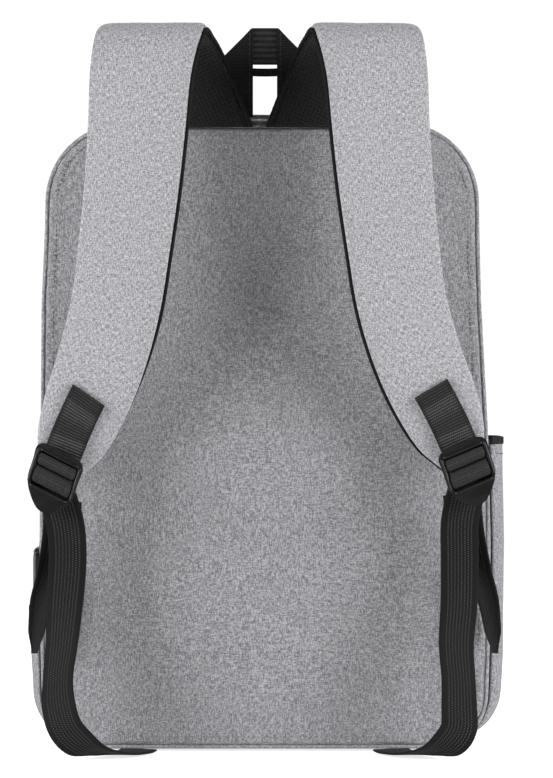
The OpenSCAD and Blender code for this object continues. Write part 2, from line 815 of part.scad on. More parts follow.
webbing_loop(RIGHT);  // right_webbing_loop
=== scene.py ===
"""Looks of a solar backpack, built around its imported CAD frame. Design sizes are in millimetres."""
import math

import bmesh
import bpy
import numpy as np
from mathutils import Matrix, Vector, noise


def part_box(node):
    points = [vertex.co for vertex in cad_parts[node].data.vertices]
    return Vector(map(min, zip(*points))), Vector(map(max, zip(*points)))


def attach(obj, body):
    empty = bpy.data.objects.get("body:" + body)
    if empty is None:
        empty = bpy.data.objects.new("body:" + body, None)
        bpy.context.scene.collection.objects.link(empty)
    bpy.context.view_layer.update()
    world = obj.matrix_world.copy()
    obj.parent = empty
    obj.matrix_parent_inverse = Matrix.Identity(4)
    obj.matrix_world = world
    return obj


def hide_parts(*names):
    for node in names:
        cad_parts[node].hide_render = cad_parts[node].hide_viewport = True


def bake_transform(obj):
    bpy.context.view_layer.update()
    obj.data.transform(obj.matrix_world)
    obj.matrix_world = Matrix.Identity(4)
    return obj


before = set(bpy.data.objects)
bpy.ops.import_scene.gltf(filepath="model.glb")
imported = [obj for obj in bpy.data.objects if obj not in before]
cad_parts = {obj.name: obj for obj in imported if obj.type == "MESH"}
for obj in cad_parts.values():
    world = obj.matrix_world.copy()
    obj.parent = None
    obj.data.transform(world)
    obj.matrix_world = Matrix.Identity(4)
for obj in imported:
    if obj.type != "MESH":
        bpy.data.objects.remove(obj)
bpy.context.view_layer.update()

MM = 0.001
SIDES = {"left": -1, "right": 1}
WEB_HALF, WEB_THICK = 12.5, 1.6
UP, BACK, ACROSS = (0.0, 0.0, 1.0), (0.0, 1.0, 0.0), (1.0, 0.0, 0.0)


# ---------------------------------------------------------------- camera, floor and light

def add_object(name, data):
    obj = bpy.data.objects.new(name, data)
    bpy.context.scene.collection.objects.link(obj)
    return obj


def make_camera():
    data = bpy.data.cameras.new("camera")
    data.lens = 131.9
    data.sensor_width = 36
    data.clip_end = 50
    cam = add_object("camera", data)
    cam.location = (0.0077, -1.962, 0.242)
    cam.rotation_euler = (math.radians(90), 0, 0)
    bpy.context.scene.camera = cam


def make_light(name, place, target, size, watts):
    data = bpy.data.lights.new(name, "AREA")
    data.shape = "RECTANGLE"
    data.size, data.size_y = size
    data.energy = watts
    light = add_object(name, data)
    light.location = place
    light.rotation_euler = (Vector(target) - Vector(place)).to_track_quat("-Z", "Y").to_euler()


def seen_level(tree, socket, lit, seen):
    """A strength of its own where the camera sees the surface straight, apart from what it lights with."""
    level = tree.nodes.new("ShaderNodeMapRange")
    level.inputs["To Min"].default_value = lit
    level.inputs["To Max"].default_value = seen
    tree.links.new(tree.nodes.new("ShaderNodeLightPath").outputs["Is Camera Ray"], level.inputs["Value"])
    tree.links.new(level.outputs["Result"], socket)


def make_stage():
    scene = bpy.context.scene
    scene.view_settings.view_transform = "Standard"
    scene.world = world = bpy.data.worlds.new("studio")
    world.use_nodes = True
    background = world.node_tree.nodes["Background"]
    background.inputs["Color"].default_value = (1, 1, 1, 1)
    seen_level(world.node_tree, background.inputs["Strength"], 0.06, 1.05)
    for name, x in (("left", -2.1), ("right", 2.1)):
        make_light(name, (x, -1.15, 0.75), (0, -0.05, 0.2), (0.9, 1.5), 56)
    make_light("top", (0, -0.9, 2.2), (0, -0.05, 0.25), (1.6, 1.0), 3)
    make_light("back", (0.4, 2.6, 1.3), (0, 0, 0.25), (1.8, 1.2), 34)
    floor = bpy.data.materials.new("floor_white")
    floor.use_nodes = True
    shader = floor.node_tree.nodes["Principled BSDF"]
    shader.inputs["Base Color"].default_value = (0.93, 0.93, 0.93, 1)
    shader.inputs["Roughness"].default_value = 0.8
    shader.inputs["Emission Color"].default_value = (1, 1, 1, 1)
    seen_level(floor.node_tree, shader.inputs["Emission Strength"], 0.05, 0.75)
    mesh = bpy.data.meshes.new("floor")
    count, reach = 64, 1.3
    turns = [2 * math.pi * k / count for k in range(count)]
    mesh.from_pydata([(reach * math.cos(a), reach * math.sin(a), 0) for a in turns], [], [tuple(range(count))])
    mesh.materials.append(floor)
    add_object("floor", mesh)


# ---------------------------------------------------------------- materials

class Nodes:
    """A short way to write a material's node tree."""

    def __init__(self, name, roughness=0.8, **sockets):
        self.material = bpy.data.materials.new(name)
        self.material.use_nodes = True
        self.tree = self.material.node_tree
        self.shader = self.tree.nodes["Principled BSDF"]
        self.shader.inputs["Roughness"].default_value = roughness
        for key, value in sockets.items():
            self.shader.inputs[key.replace("_", " ")].default_value = value

    def add(self, kind, inputs=None, **fields):
        node = self.tree.nodes.new(kind)
        for key, value in fields.items():
            setattr(node, key, value)
        for key, value in (inputs or {}).items():
            if isinstance(value, bpy.types.NodeSocket):
                self.tree.links.new(value, node.inputs[key])
            else:
                node.inputs[key].default_value = value
        return node

    def coords(self, kind="Object", scale=(1, 1, 1)):
        source = self.add("ShaderNodeTexCoord").outputs[kind]
        return self.add("ShaderNodeMapping", {"Vector": source, "Scale": scale}).outputs["Vector"]

    def grain(self, kind, size, detail=2.0, rough=0.5):
        """Noise with size spots to the metre, one number or three."""
        vector = self.coords(kind, size if isinstance(size, tuple) else (size, size, size))
        return self.add("ShaderNodeTexNoise", {"Vector": vector, "Scale": 1.0, "Detail": detail,
                                               "Roughness": rough}).outputs["Fac"]

    def math(self, op, a, b=0.0, clamp=False):
        return self.add("ShaderNodeMath", {0: a, 1: b}, operation=op, use_clamp=clamp).outputs[0]

    def total(self, *terms):
        """The sum of (value, weight) pairs."""
        parts = [self.math("MULTIPLY", value, weight) for value, weight in terms]
        while len(parts) > 1:
            parts[:2] = [self.math("ADD", parts[0], parts[1])]
        return parts[0]

    def product(self, *values):
        values = list(values)
        while len(values) > 1:
            values[:2] = [self.math("MULTIPLY", values[0], values[1])]
        return values[0]

    def mix(self, fac, a, b, blend="MIX"):
        node = self.add("ShaderNodeMix", data_type="RGBA", blend_type=blend)
        for index, value in ((0, fac), (6, a), (7, b)):
            if isinstance(value, bpy.types.NodeSocket):
                self.tree.links.new(value, node.inputs[index])
            else:
                node.inputs[index].default_value = value
        return node.outputs[2]

    def ramp(self, value, stops):
        node = self.add("ShaderNodeValToRGB", {"Fac": value})
        ramp = node.color_ramp
        while len(ramp.elements) < len(stops):
            ramp.elements.new(0.5)
        for element, (place, grey) in zip(ramp.elements, stops):
            element.position = place
            element.color = (*grey, 1) if isinstance(grey, tuple) else (grey, grey, grey, 1)
        return node.outputs["Color"]

    def wave(self, value, pitch, phase=0.0):
        """0 to 1, once every pitch of value."""
        turns = self.math("MULTIPLY", value, 2 * math.pi / pitch)
        return self.math("MULTIPLY_ADD", self.math("SINE", self.math("ADD", turns, phase)), 0.5)

    def split(self, vector):
        node = self.add("ShaderNodeSeparateXYZ", {0: vector})
        return node.outputs[0], node.outputs[1], node.outputs[2]

    def colour(self, value):
        self.tree.links.new(value, self.shader.inputs["Base Color"])
        return self

    def bump(self, height, strength=0.5, distance=0.0004):
        node = self.add("ShaderNodeBump", {"Height": height, "Strength": strength, "Distance": distance})
        self.tree.links.new(node.outputs["Normal"], self.shader.inputs["Normal"])
        return self

    def rough(self, value):
        self.tree.links.new(value, self.shader.inputs["Roughness"])
        return self


def grey(v, tint=1.03):
    return (v, v, min(1.0, v * tint), 1)


def heather(name, level=1.0, kind="Object", k=2.0):
    """Melange polyester: pale and dark threads that run both ways, over a plain weave."""
    n = Nodes(name, roughness=0.92, Sheen_Weight=0.18, Sheen_Roughness=0.5, Specular_IOR_Level=0.2)
    flat = kind == "UV"
    up = n.grain(kind, (900 * k, 190 * k, 1) if flat else (900 * k, 900 * k, 190 * k), 1)
    across = n.grain(kind, (210 * k, 900 * k, 1) if flat else (210 * k, 260 * k, 900 * k), 1)
    speck = n.grain(kind, 800 * k, 2, 0.7)
    value = n.total((up, 0.5), (across, 0.42), (speck, 0.26))
    tones = ((0.46, (0.145, 0.146, 0.157)), (0.585, (0.28, 0.28, 0.296)), (0.71, (0.47, 0.47, 0.49)))
    tone = n.ramp(value, [(place, tuple(c * level for c in colour)) for place, colour in tones])
    cloud = n.ramp(n.grain(kind, 9, 3), [(0.3, 0.95), (0.7, 1.0)])
    n.colour(n.mix(1.0, tone, cloud, "MULTIPLY"))
    return n.bump(n.total((value, 0.7), (speck, 0.5)), 0.45, 0.0005).material


def webbing_dotted(name):
    """Narrow webbing: smooth borders and a middle of raised rows, each row a line of dots."""
    n = Nodes(name, roughness=0.7, Sheen_Weight=0.03, Specular_IOR_Level=0.2)
    u, v, _ = n.split(n.coords("UV"))
    rows = n.wave(u, 2.2 * MM)
    dots = n.wave(n.math("ADD", v, n.math("MULTIPLY", u, 0.4)), 1.5 * MM)
    centre = n.math("ABSOLUTE", n.math("SUBTRACT", u, WEB_HALF * MM))
    dot = n.product(n.math("POWER", rows, 3.0), n.math("POWER", dots, 1.5), n.math("LESS_THAN", centre, 8.8 * MM))
    fuzz = n.grain("UV", 900)
    height = n.total((dot, 0.8), (n.math("ADD", n.wave(v, 0.7 * MM), fuzz), 0.2))
    n.colour(n.mix(dot, grey(0.0045), grey(0.075)))
    return n.bump(height, 0.7, 0.0006).material


def webbing_ribbed(name, pitch=1.5, lift=0.05, kind="UV"):
    """Webbing with ribs across it."""
    n = Nodes(name, roughness=0.75, Sheen_Weight=0.03, Specular_IOR_Level=0.25)
    u, v, up = n.split(n.coords(kind))
    if kind == "Object":
        v = up
    fuzz = n.grain(kind, 700)
    height = n.total((n.wave(v, pitch * MM), 0.75), (n.wave(u, 0.9 * MM), 0.25))
    shade = n.math("MULTIPLY", n.math("MULTIPLY", height, fuzz), 1.7, clamp=True)
    n.colour(n.mix(shade, grey(0.004), grey(lift)))
    return n.bump(height, 0.8, 0.0006).material


def webbing_weft(name, length=50):
    """Anchor tape: fine ribs across it, dark at its edges, with two stretches where pale weft shows in rows."""
    n = Nodes(name, roughness=0.75, Sheen_Weight=0.03, Specular_IOR_Level=0.25)
    u, v, _ = n.split(n.coords("UV"))
    rib = n.wave(v, 1.9 * MM)
    thread = n.wave(n.math("ADD", u, n.math("MULTIPLY", v, 0.3)), 1.4 * MM)
    place = n.math("MULTIPLY", v, 1000 / length)
    show = n.ramp(place, [(0.0, 0.3), (0.17, 0.35), (0.2, 1.0), (0.4, 0.6), (0.46, 0.4), (0.62, 0.4), (0.66, 1.0),
                          (0.9, 1.0)])
    centre = n.math("ABSOLUTE", n.math("SUBTRACT", u, WEB_HALF * MM))
    inside = n.ramp(n.math("MULTIPLY", centre, 80), [(0.75, 1.0), (0.95, 0.25)])
    fuzz = n.grain("UV", 900)
    height = n.total((n.math("POWER", rib, 2.0), 0.7), (thread, 0.3))
    shade = n.product(height, fuzz, show, inside)
    n.colour(n.mix(n.math("MULTIPLY", shade, 2.6, clamp=True), grey(0.004), grey(0.1)))
    return n.bump(height, 0.8, 0.0006).material


def spacer_mesh(name, kind="UV", hole=2.6):
    """Black knitted spacer mesh with a honeycomb of small holes."""
    n = Nodes(name, roughness=0.85, Sheen_Weight=0.12, Specular_IOR_Level=0.3)
    cells = n.add("ShaderNodeTexVoronoi", {"Vector": n.coords(kind), "Scale": 1000 / hole,
                                           "Randomness": 0.25}).outputs["Distance"]
    knit = n.grain(kind, 1500)
    n.colour(n.mix(n.ramp(cells, [(0.2, 0.0), (0.5, 1.0)]), grey(0.0025), grey(0.011)))
    height = n.math("ADD", cells, n.math("MULTIPLY", knit, 0.25))
    return n.bump(height, 0.9, 0.0012).material


def plain_cloth(name, level, pitch=0.9, kind="Object", sheen=0.1, tint=1.03):
    """Tight plain-woven cloth with a visible grid of threads."""
    n = Nodes(name, roughness=0.85, Sheen_Weight=sheen, Specular_IOR_Level=0.25)
    x, y, z = n.split(n.coords(kind))
    warp = n.wave(n.math("ADD", x, y), pitch * MM)
    weft = n.wave(n.math("ADD", z, n.math("MULTIPLY", y, 0.5)), pitch * MM)
    grid = n.math("MULTIPLY", n.math("ADD", warp, weft), 0.5)
    patch = n.grain(kind, 40, 4)
    shade = n.math("MULTIPLY", n.math("ADD", grid, patch), 0.5)
    n.colour(n.mix(shade, grey(level * 0.6, tint), grey(level * 1.5, tint)))
    return n.bump(grid, 0.5, 0.0004).material


def moulded(name, level=0.02, roughness=0.38, grain=900):
    """Moulded plastic or rubber with a fine grain and faint handling marks."""
    n = Nodes(name, roughness=roughness, Specular_IOR_Level=0.5)
    fine = n.grain("Object", grain, 3)
    marks = n.grain("Object", (60, 60, 200), 5, 0.7)
    n.colour(n.mix(marks, grey(level * 0.8), grey(level * 1.6)))
    n.rough(n.ramp(marks, [(0.35, roughness - 0.06), (0.75, roughness + 0.12)]))
    return n.bump(fine, 0.12, 0.0003).material


def metal(name, level=0.6, roughness=0.32, metallic=1.0):
    """Brushed or painted metal with fine scratches."""
    n = Nodes(name, roughness=roughness, Metallic=metallic)
    lines = n.grain("Object", (300, 300, 3000), 3)
    n.colour(n.mix(lines, grey(level * 0.75), grey(level * 1.1)))
    n.rough(n.ramp(lines, [(0.3, roughness - 0.08), (0.7, roughness + 0.1)]))
    return n.bump(lines, 0.1, 0.0002).material


def thread(name, level):
    n = Nodes(name, roughness=0.7, Sheen_Weight=0.2)
    twist = n.wave(n.math("ADD", *n.split(n.coords("Object"))[0:3:2]), 0.5 * MM)
    n.colour(n.mix(twist, grey(level * 0.6), grey(level)))
    return n.bump(twist, 0.4, 0.0002).material


def solar_cell(name):
    """Dark blue-black silicon with fine silver fingers and three busbars to a cell."""
    n = Nodes(name, roughness=0.22, Specular_IOR_Level=0.6, Coat_Weight=0.5, Coat_Roughness=0.08)
    x, _, z = n.split(n.coords("Object"))
    finger = n.math("GREATER_THAN", n.wave(z, 2.2 * MM), 0.94)
    bar = n.math("GREATER_THAN", n.wave(x, 16.5 * MM), 0.985)
    crystal = n.add("ShaderNodeTexVoronoi", {"Vector": n.coords("Object", (120, 120, 120))}).outputs["Color"]
    tone = n.mix(0.12, (0.006, 0.009, 0.028, 1), crystal, "SOFT_LIGHT")
    lines = n.math("MAXIMUM", n.math("MULTIPLY", finger, 0.35), bar)
    n.colour(n.mix(lines, tone, (0.45, 0.46, 0.48, 1)))
    return n.bump(lines, 0.2, 0.0001).material


def clear_film(name):
    """Thin clear laminate with a faint leather-like texture."""
    n = Nodes(name, roughness=0.12, Transmission_Weight=1.0, IOR=1.45, Alpha=0.35)
    n.colour(n.mix(n.grain("Object", 200), grey(0.94), grey(0.99)))
    return n.bump(n.grain("Object", 900), 0.08, 0.0002).material


MAT = {
    "heather": heather("heather_fabric"),
    # The straps' copy of the heather fabric is 1.38 times as bright: painted light, standing in for the straps
    # catching more light than the back panel behind them.
    "heather_strap_painted_light": heather("heather_strap_painted_light", 1.38, "UV"),
    # The pipings' and yoke's copy of the heather fabric is a little lighter: painted light, lifting the pipings out of
    # the shade of the grooves they sit in.
    "heather_trim_painted_light": heather("heather_trim_painted_light", 1.1),
    "web": webbing_dotted("webbing_dotted"),
    "rib": webbing_ribbed("webbing_ribbed", 1.5, 0.03),
    "rib_fine": webbing_ribbed("webbing_fine", 1.3, 0.06),
    "anchor": webbing_weft("webbing_weft"),
    "rib_object": webbing_ribbed("webbing_ribbed_flat", 1.5, 0.025, "Object"),
    "rib_wide": webbing_ribbed("webbing_ribbed_grip", 3.8, 0.05, "Object"),
    "mesh": spacer_mesh("spacer_mesh"),
    "mesh_pocket": spacer_mesh("pocket_mesh", "Object", 2.2),
    "lining": plain_cloth("lining_cloth", 0.03, 1.1),
    "coated": plain_cloth("coated_cloth", 0.028, 1.0),
    "base": plain_cloth("base_cloth", 0.11, 1.2),
    "binding": plain_cloth("binding_tape", 0.006, 0.8, "UV", sheen=0.02),
    "tape": plain_cloth("zip_tape", 0.012, 0.7),
    "plastic": moulded("black_plastic", 0.0035, 0.36),
    "rubber": moulded("black_rubber", 0.007, 0.55, 1400),
    "cap_rubber": moulded("grey_rubber", 0.16, 0.62, 1400),
    "board": moulded("stiff_board", 0.06, 0.7),
    "coil": moulded("nylon_coil", 0.008, 0.3),
    "zip_metal": metal("black_metal", 0.05, 0.4, 0.6),
    "steel": metal("plated_steel", 0.62, 0.3),
    "thread_grey": thread("grey_thread", 0.2),
    "thread_black": thread("black_thread", 0.03),
    "cell": solar_cell("solar_cell"),
    "film": clear_film("clear_film"),
}


# ---------------------------------------------------------------- meshes

def make_piece(name, points, faces, material, uvs=None, smooth=True):
    """A mesh object from points in millimetres. uvs is one pair per point, in metres."""
    mesh = bpy.data.meshes.new(name)
    mesh.from_pydata((np.asarray(points, float) * MM).tolist(), [], [tuple(int(i) for i in f) for f in faces])
    mesh.materials.append(MAT[material])
    if uvs is not None:
        layer = mesh.uv_layers.new(name="UVMap")
        index = np.zeros(len(mesh.loops), int)
        mesh.loops.foreach_get("vertex_index", index)
        layer.data.foreach_set("uv", np.asarray(uvs, float)[index].ravel())
    if smooth:
        mesh.polygons.foreach_set("use_smooth", [True] * len(mesh.polygons))
    mesh.update()
    return add_object(name, mesh)


def grid_faces(rows, cols, wrap=False):
    """Quads over rows of cols points. With wrap, each row closes on itself."""
    last = cols if wrap else cols - 1
    return [(r * cols + c, r * cols + (c + 1) % cols, (r + 1) * cols + (c + 1) % cols, (r + 1) * cols + c)
            for r in range(rows - 1) for c in range(last)]


def closed_faces(rows, cols):
    """Quads over rings of points, with both ends capped."""
    last = (rows - 1) * cols
    return grid_faces(rows, cols, True) + [tuple(range(cols))[::-1], tuple(range(last, last + cols))]


def fix_normals(obj):
    mesh = bmesh.new()
    mesh.from_mesh(obj.data)
    bmesh.ops.recalc_face_normals(mesh, faces=mesh.faces)
    mesh.to_mesh(obj.data)
    mesh.free()
    return obj


def closed_form(name, rings, material, uvs=None):
    """A closed mesh skinned over rings of points."""
    faces = closed_faces(len(rings), len(rings[0]))
    return fix_normals(make_piece(name, np.concatenate(rings), faces, material, uvs))


def modify(obj, kind, **fields):
    modifier = obj.modifiers.new(kind.lower(), kind)
    for key, value in fields.items():
        setattr(modifier, key, value)
    return modifier


def apply_modifiers(obj):
    mesh = bpy.data.meshes.new_from_object(obj.evaluated_get(bpy.context.evaluated_depsgraph_get()))
    obj.modifiers.clear()
    obj.data = mesh
    return obj


def knot(p, i, t):
    a, b, c, d = (np.asarray(p[min(max(i + k, 0), len(p) - 1)], float) for k in (-1, 0, 1, 2))
    return (2 * b + (c - a) * t + (2 * a - 5 * b + 4 * c - d) * t ** 2 + (3 * b - a - 3 * c + d) * t ** 3) / 2


def spline(p, n):
    """A smooth curve through the points p, with n steps between each two."""
    return np.array([knot(p, i, k / n) for i in range(len(p) - 1) for k in range(n)] + [p[-1]], float)


def unit(v):
    return v / np.maximum(np.linalg.norm(v, axis=-1, keepdims=True), 1e-9)


def lengths(points):
    steps = np.linalg.norm(np.diff(np.asarray(points)[:, :3], axis=0), axis=1)
    return np.concatenate([[0], np.cumsum(steps)])


def even(points, step):
    """The same line with points at an even spacing, other columns carried along."""
    along = lengths(points)
    count = max(3, int(round(along[-1] / step)) + 1)
    at = np.linspace(0, along[-1], count)
    return np.stack([np.interp(at, along, points[:, k]) for k in range(points.shape[1])], 1)


def tangents(points, closed=False):
    p = np.asarray(points)[:, :3]
    if closed:
        return unit(np.roll(p, -1, 0) - np.roll(p, 1, 0))
    return unit(np.gradient(p, axis=0))


def band_frames(path):
    """For a path of [x, y, z, half width, twist]: tangent, normal and across, as the CAD bands have them."""
    t = tangents(path)
    n = unit(np.stack([np.zeros(len(t)), t[:, 2], -t[:, 1]], 1))
    turn = np.radians(path[:, 4])[:, None]
    n = n * np.cos(turn) + np.cross(t, n) * np.sin(turn)
    return t, n, np.cross(n, t)


def swept(name, centre, across, normal, section, material, half=WEB_HALF):
    """A closed section [across, along normal], fixed or a function of the row number, swept along centre.
    Its UVs start half a width, given for the whole or for each row, to the side of the middle."""
    rows = len(centre)
    across, normal = (np.broadcast_to(v, (rows, 3)) for v in (across, normal))
    half = np.broadcast_to(half, rows)
    along = lengths(centre)
    points, uvs = [], []
    for i, c in enumerate(centre):
        s = np.asarray(section(i) if callable(section) else section, float)
        points.append(c + across[i] * s[:, :1] + normal[i] * s[:, 1:2])
        uvs.append(np.stack([(s[:, 0] + half[i]) * MM, np.full(len(s), along[i] * MM)], 1))
    return closed_form(name, points, material, np.concatenate(uvs))


def band(name, path, section, material):
    """A section swept along a path of [x, y, z, half width, twist]."""
    _, n, w = band_frames(path)
    return swept(name, path[:, :3], w, n, section, material, path[:, 3])


def tube_points(path, radius, sides, closed=False):
    p = np.asarray(path, float)[:, :3]
    t = tangents(p, closed)
    up = np.array([0.0, 0.0, 1.0]) if abs(t[0][2]) < 0.9 else np.array([0.0, 1.0, 0.0])
    normal = unit(np.cross(t[0], up))
    rings = []
    for i in range(len(p)):
        normal = unit(normal - t[i] * (normal @ t[i]))
        side = np.cross(t[i], normal)
        r = radius[i] if hasattr(radius, "__len__") else radius
        angle = np.linspace(0, 2 * np.pi, sides, endpoint=False)[:, None]
        rings.append(p[i] + r * (np.cos(angle) * normal + np.sin(angle) * side))
    return rings


def tube(name, path, radius, material, sides=10, closed=False):
    rings = tube_points(path, radius, sides, closed)
    count = len(rings)
    if closed:
        base = (count - 1) * sides
        shift = int(np.argmin(np.linalg.norm(rings[0] - rings[-1][0], axis=1)))
        faces = grid_faces(count, sides, True)
        faces += [(base + k, base + (k + 1) % sides, (k + 1 + shift) % sides, (k + shift) % sides)
                  for k in range(sides)]
    else:
        faces = closed_faces(count, sides)
    along = lengths(path)
    uvs = [(k / sides * 2 * np.pi * 2 * MM, along[i] * MM) for i in range(count) for k in range(sides)]
    return fix_normals(make_piece(name, np.concatenate(rings), faces, material, uvs))


def spindles(name, forms, material):
    """Many small closed forms as one piece. Each form is a list of rings of six points."""
    forms = np.array(forms)
    count, rings, sides = forms.shape[:3]
    faces = [tuple(base + q for q in f) for base in range(0, count * rings * sides, rings * sides)
             for f in closed_faces(rings, sides)]
    return make_piece(name, forms.reshape(-1, 3), faces, material)


SIX = [k * math.pi / 3 for k in range(6)]


def stitches(name, line, material, pitch=3.4, length=2.4, radius=0.32, lift=0.1, normals=(0.0, -1.0, 0.0)):
    """A row of thread stitches along a line, each one a small spindle that dips at its ends."""
    line = np.asarray(line, float)
    line = even(np.concatenate([line, np.broadcast_to(normals, (len(line), 3))], 1), pitch)
    t = tangents(line)
    n = unit(line[:, 3:6])
    side = unit(np.cross(t, n))
    shape = [(-0.5, 0.25, -0.5), (-0.3, 0.9, 0.1), (0, 1.0, 0.35), (0.3, 0.9, 0.1), (0.5, 0.25, -0.5)]
    forms = [[[line[i, :3] + t[i] * along * length + n[i] * (lift + rise * radius)
               + radius * width * (side[i] * math.cos(a) + n[i] * math.sin(a)) for a in SIX]
              for along, width, rise in shape] for i in range(len(line))]
    return spindles(name, forms, material)


def wrinkle(p, size, depth, seed=0.0):
    """A smooth offset in millimetres at each point, with folds about size across."""
    return np.array([depth * noise.noise(Vector((q[0] / size + seed, q[1] / size, q[2] / size))) for q in p])


def smooth_step(x, a, b):
    t = np.clip((np.asarray(x, float) - a) / (b - a), 0, 1)
    return t * t * (3 - 2 * t)


def rounded_outline(hw, z0, z1, rt, rb, step_counts=(26, 12, 64, 16)):
    """Points (x, z) round a rounded rectangle from the bottom centre, the same number for any size."""
    nb, nc, ns, nt = step_counts
    half = [(hw - rb) * k / nb + 0j + z0 * 1j for k in range(nb)]
    for k in range(nc):
        a = -math.pi / 2 + math.pi / 2 * k / nc
        half.append(complex(hw - rb + rb * math.cos(a), z0 + rb + rb * math.sin(a)))
    for k in range(ns):
        half.append(complex(hw, z0 + rb + (z1 - rt - z0 - rb) * k / ns))
    for k in range(nt):
        a = math.pi / 2 * k / nt
        half.append(complex(hw - rt + rt * math.cos(a), z1 - rt + rt * math.sin(a)))
    for k in range(nb):
        half.append(complex((hw - rt) * (1 - k / nb), z1))
    half.append(complex(0, z1))
    right = np.array([(c.real, c.imag) for c in half])
    left = right[-2:0:-1] * [-1, 1]
    return np.concatenate([right, left])


def upright(ring, y):
    """An outline of (x, z) as points at the depth y."""
    return np.stack([ring[:, 0], np.full(len(ring), float(y)), ring[:, 1]], 1)


# ---------------------------------------------------------------- placing pieces

def put(piece, body, slot, *nodes):
    """The piece moves with a body and stands for CAD nodes, which it hides. slot is not used."""
    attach(piece, body)
    if nodes:
        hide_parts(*nodes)
    return piece


def dress(material, *nodes, bevel=0.0, segments=2):
    """CAD nodes whose shape is right keep it, with a material and soft edges."""
    for name in nodes:
        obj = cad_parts[name]
        if not obj.material_slots:
            obj.data.materials.append(MAT[material])
        for entry in obj.material_slots:
            entry.link = "OBJECT"
            entry.material = MAT[material]
        if bevel:
            modify(obj, "BEVEL", width=bevel * MM, segments=segments, limit_method="ANGLE",
                   angle_limit=math.radians(40), harden_normals=False)


def strip_section(half, thick, steps=8):
    """A flat strip's section with round edges."""
    r = thick / 2
    angles = np.linspace(-math.pi / 2, math.pi / 2, 5)
    right = [(half - r + r * math.cos(a), r * math.sin(a)) for a in angles]
    top = [(x, r) for x in np.linspace(half - r, -half + r, steps)[1:-1]]
    left = [(-x, -y) for x, y in right]
    return right + top + left + [(-x, -y) for x, y in top]


def soft_polygon(corners, steps=6):
    """An outline through corners (x, z, radius), each corner turned into a smooth curve."""
    pts = np.array(corners, float)
    out = []
    for i, (x, z, r) in enumerate(pts):
        p = np.array([x, z])
        before, after = pts[i - 1, :2] - p, pts[(i + 1) % len(pts), :2] - p
        a = p + unit(before) * min(r, np.linalg.norm(before) * 0.45)
        b = p + unit(after) * min(r, np.linalg.norm(after) * 0.45)
        out += [tuple((1 - t) ** 2 * a + 2 * t * (1 - t) * p + t * t * b) for t in np.linspace(0, 1, steps)]
    return out


def plate(name, outlines, back, front, bevel, material, warp):
    """A flat plate with bevelled edges, cut from outlines of (x, z). warp turns (x, depth, z) into place."""
    curve = bpy.data.curves.new(name + "_outline", "CURVE")
    curve.dimensions = "2D"
    curve.fill_mode = "BOTH"
    curve.extrude = (front - back) / 2
    for outline in outlines:
        line = curve.splines.new("POLY")
        line.points.add(len(outline) - 1)
        line.points.foreach_set("co", np.array([(x, z, 0, 1) for x, z in outline], float).ravel())
        line.use_cyclic_u = True
    holder = add_object(name + "_outline", curve)
    mesh = bpy.data.meshes.new_from_object(holder.evaluated_get(bpy.context.evaluated_depsgraph_get()))
    co = np.zeros(len(mesh.vertices) * 3)
    mesh.vertices.foreach_get("co", co)
    co = co.reshape(-1, 3)
    faces = [tuple(p.vertices) for p in mesh.polygons]
    points = warp(np.stack([co[:, 0], co[:, 2] + (front + back) / 2, co[:, 1]], 1))
    bpy.data.objects.remove(holder)
    bpy.data.curves.remove(curve)
    bpy.data.meshes.remove(mesh)
    piece = make_piece(name, points, faces, material, smooth=False)
    weld = bmesh.new()
    weld.from_mesh(piece.data)
    bmesh.ops.remove_doubles(weld, verts=weld.verts, dist=1e-6)
    weld.to_mesh(piece.data)
    weld.free()
    fix_normals(piece)
    modify(piece, "BEVEL", width=bevel * MM, segments=3, limit_method="ANGLE", angle_limit=math.radians(50))
    return apply_modifiers(piece)


# ---------------------------------------------------------------- the body's form

BODY_HALF, BODY_TOP, BOTTOM_R = 150, 430, 38
# Outlines that the body is skinned over: y, inset of each side, bottom, drop of the top, radius.
LAYERS = [(-54.5, 4.0, 3.6, 10, 51), (-47, 1.5, 2.7, 6, 54), (-36, 0, 2.5, 2.5, 56), (0, 0, 2.5, 0, 58),
          (34, 0.5, 2.5, 1.5, 57), (50, 2.5, 2.5, 5, 55), (57, 6, 4, 10, 52), (62, 13, 10, 18, 46)]
FORM = spline(LAYERS, 6)
ZIP_Y, LID_Z, ZIP_TURN, ZIP_HALF, STRIP_Y = 32, 48, 16, 6, 52
FOLD_GAP = 0.5
FLOOR_GAP, CLOTH_THICK, LINING_THICK, TAPE_THICK, TAPE_SINK, LINING_INSET = 2.5, 2.3, 0.6, 0.7, 0.9, 3.0
TURN_Y, TURN_Z = ZIP_Y + ZIP_TURN, LID_Z + ZIP_TURN


def body_at(y):
    """Half width, bottom, top, top radius and bottom radius of the body's outline at a depth."""
    inset, bottom, drop, radius = (float(np.interp(y, FORM[:, 0], FORM[:, k])) for k in (1, 2, 3, 4))
    return BODY_HALF - inset, max(bottom, FLOOR_GAP), BODY_TOP - drop, radius, BOTTOM_R - inset


def settle(points):
    """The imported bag's sides: a little fuller low down, and drawn in near the top."""
    p = np.array(points, float)
    z = p[:, 2]
    heights = [0, 30, 70, 140, 214, 300, 350, 380, 430]
    left = np.interp(z, heights, [0, 0.3, 1.4, 2.0, 1.3, 0.6, -1.6, -2.2, -2.5])
    right = np.interp(z, heights, [0, 0.3, 1.6, 2.2, 0.4, -4.2, -5.4, -5.8, -6.0])
    share = smooth_step(np.abs(p[:, 0]), 50, 145)
    p[:, 0] += np.where(p[:, 0] < 0, -left, right) * share
    return p


def draw_in(points):
    """The walls stand a little inside the panel's piping high up, and the top droops to its corners."""
    p = settle(points)
    wide = np.abs(p[:, 0])
    p[:, 0] -= np.sign(p[:, 0]) * 1.2 * smooth_step(wide, 138, 149) * smooth_step(p[:, 2], 135, 235)
    p[:, 2] -= 8.5 * smooth_step(wide, 66, 122) * smooth_step(p[:, 2], 290, 405)
    return p


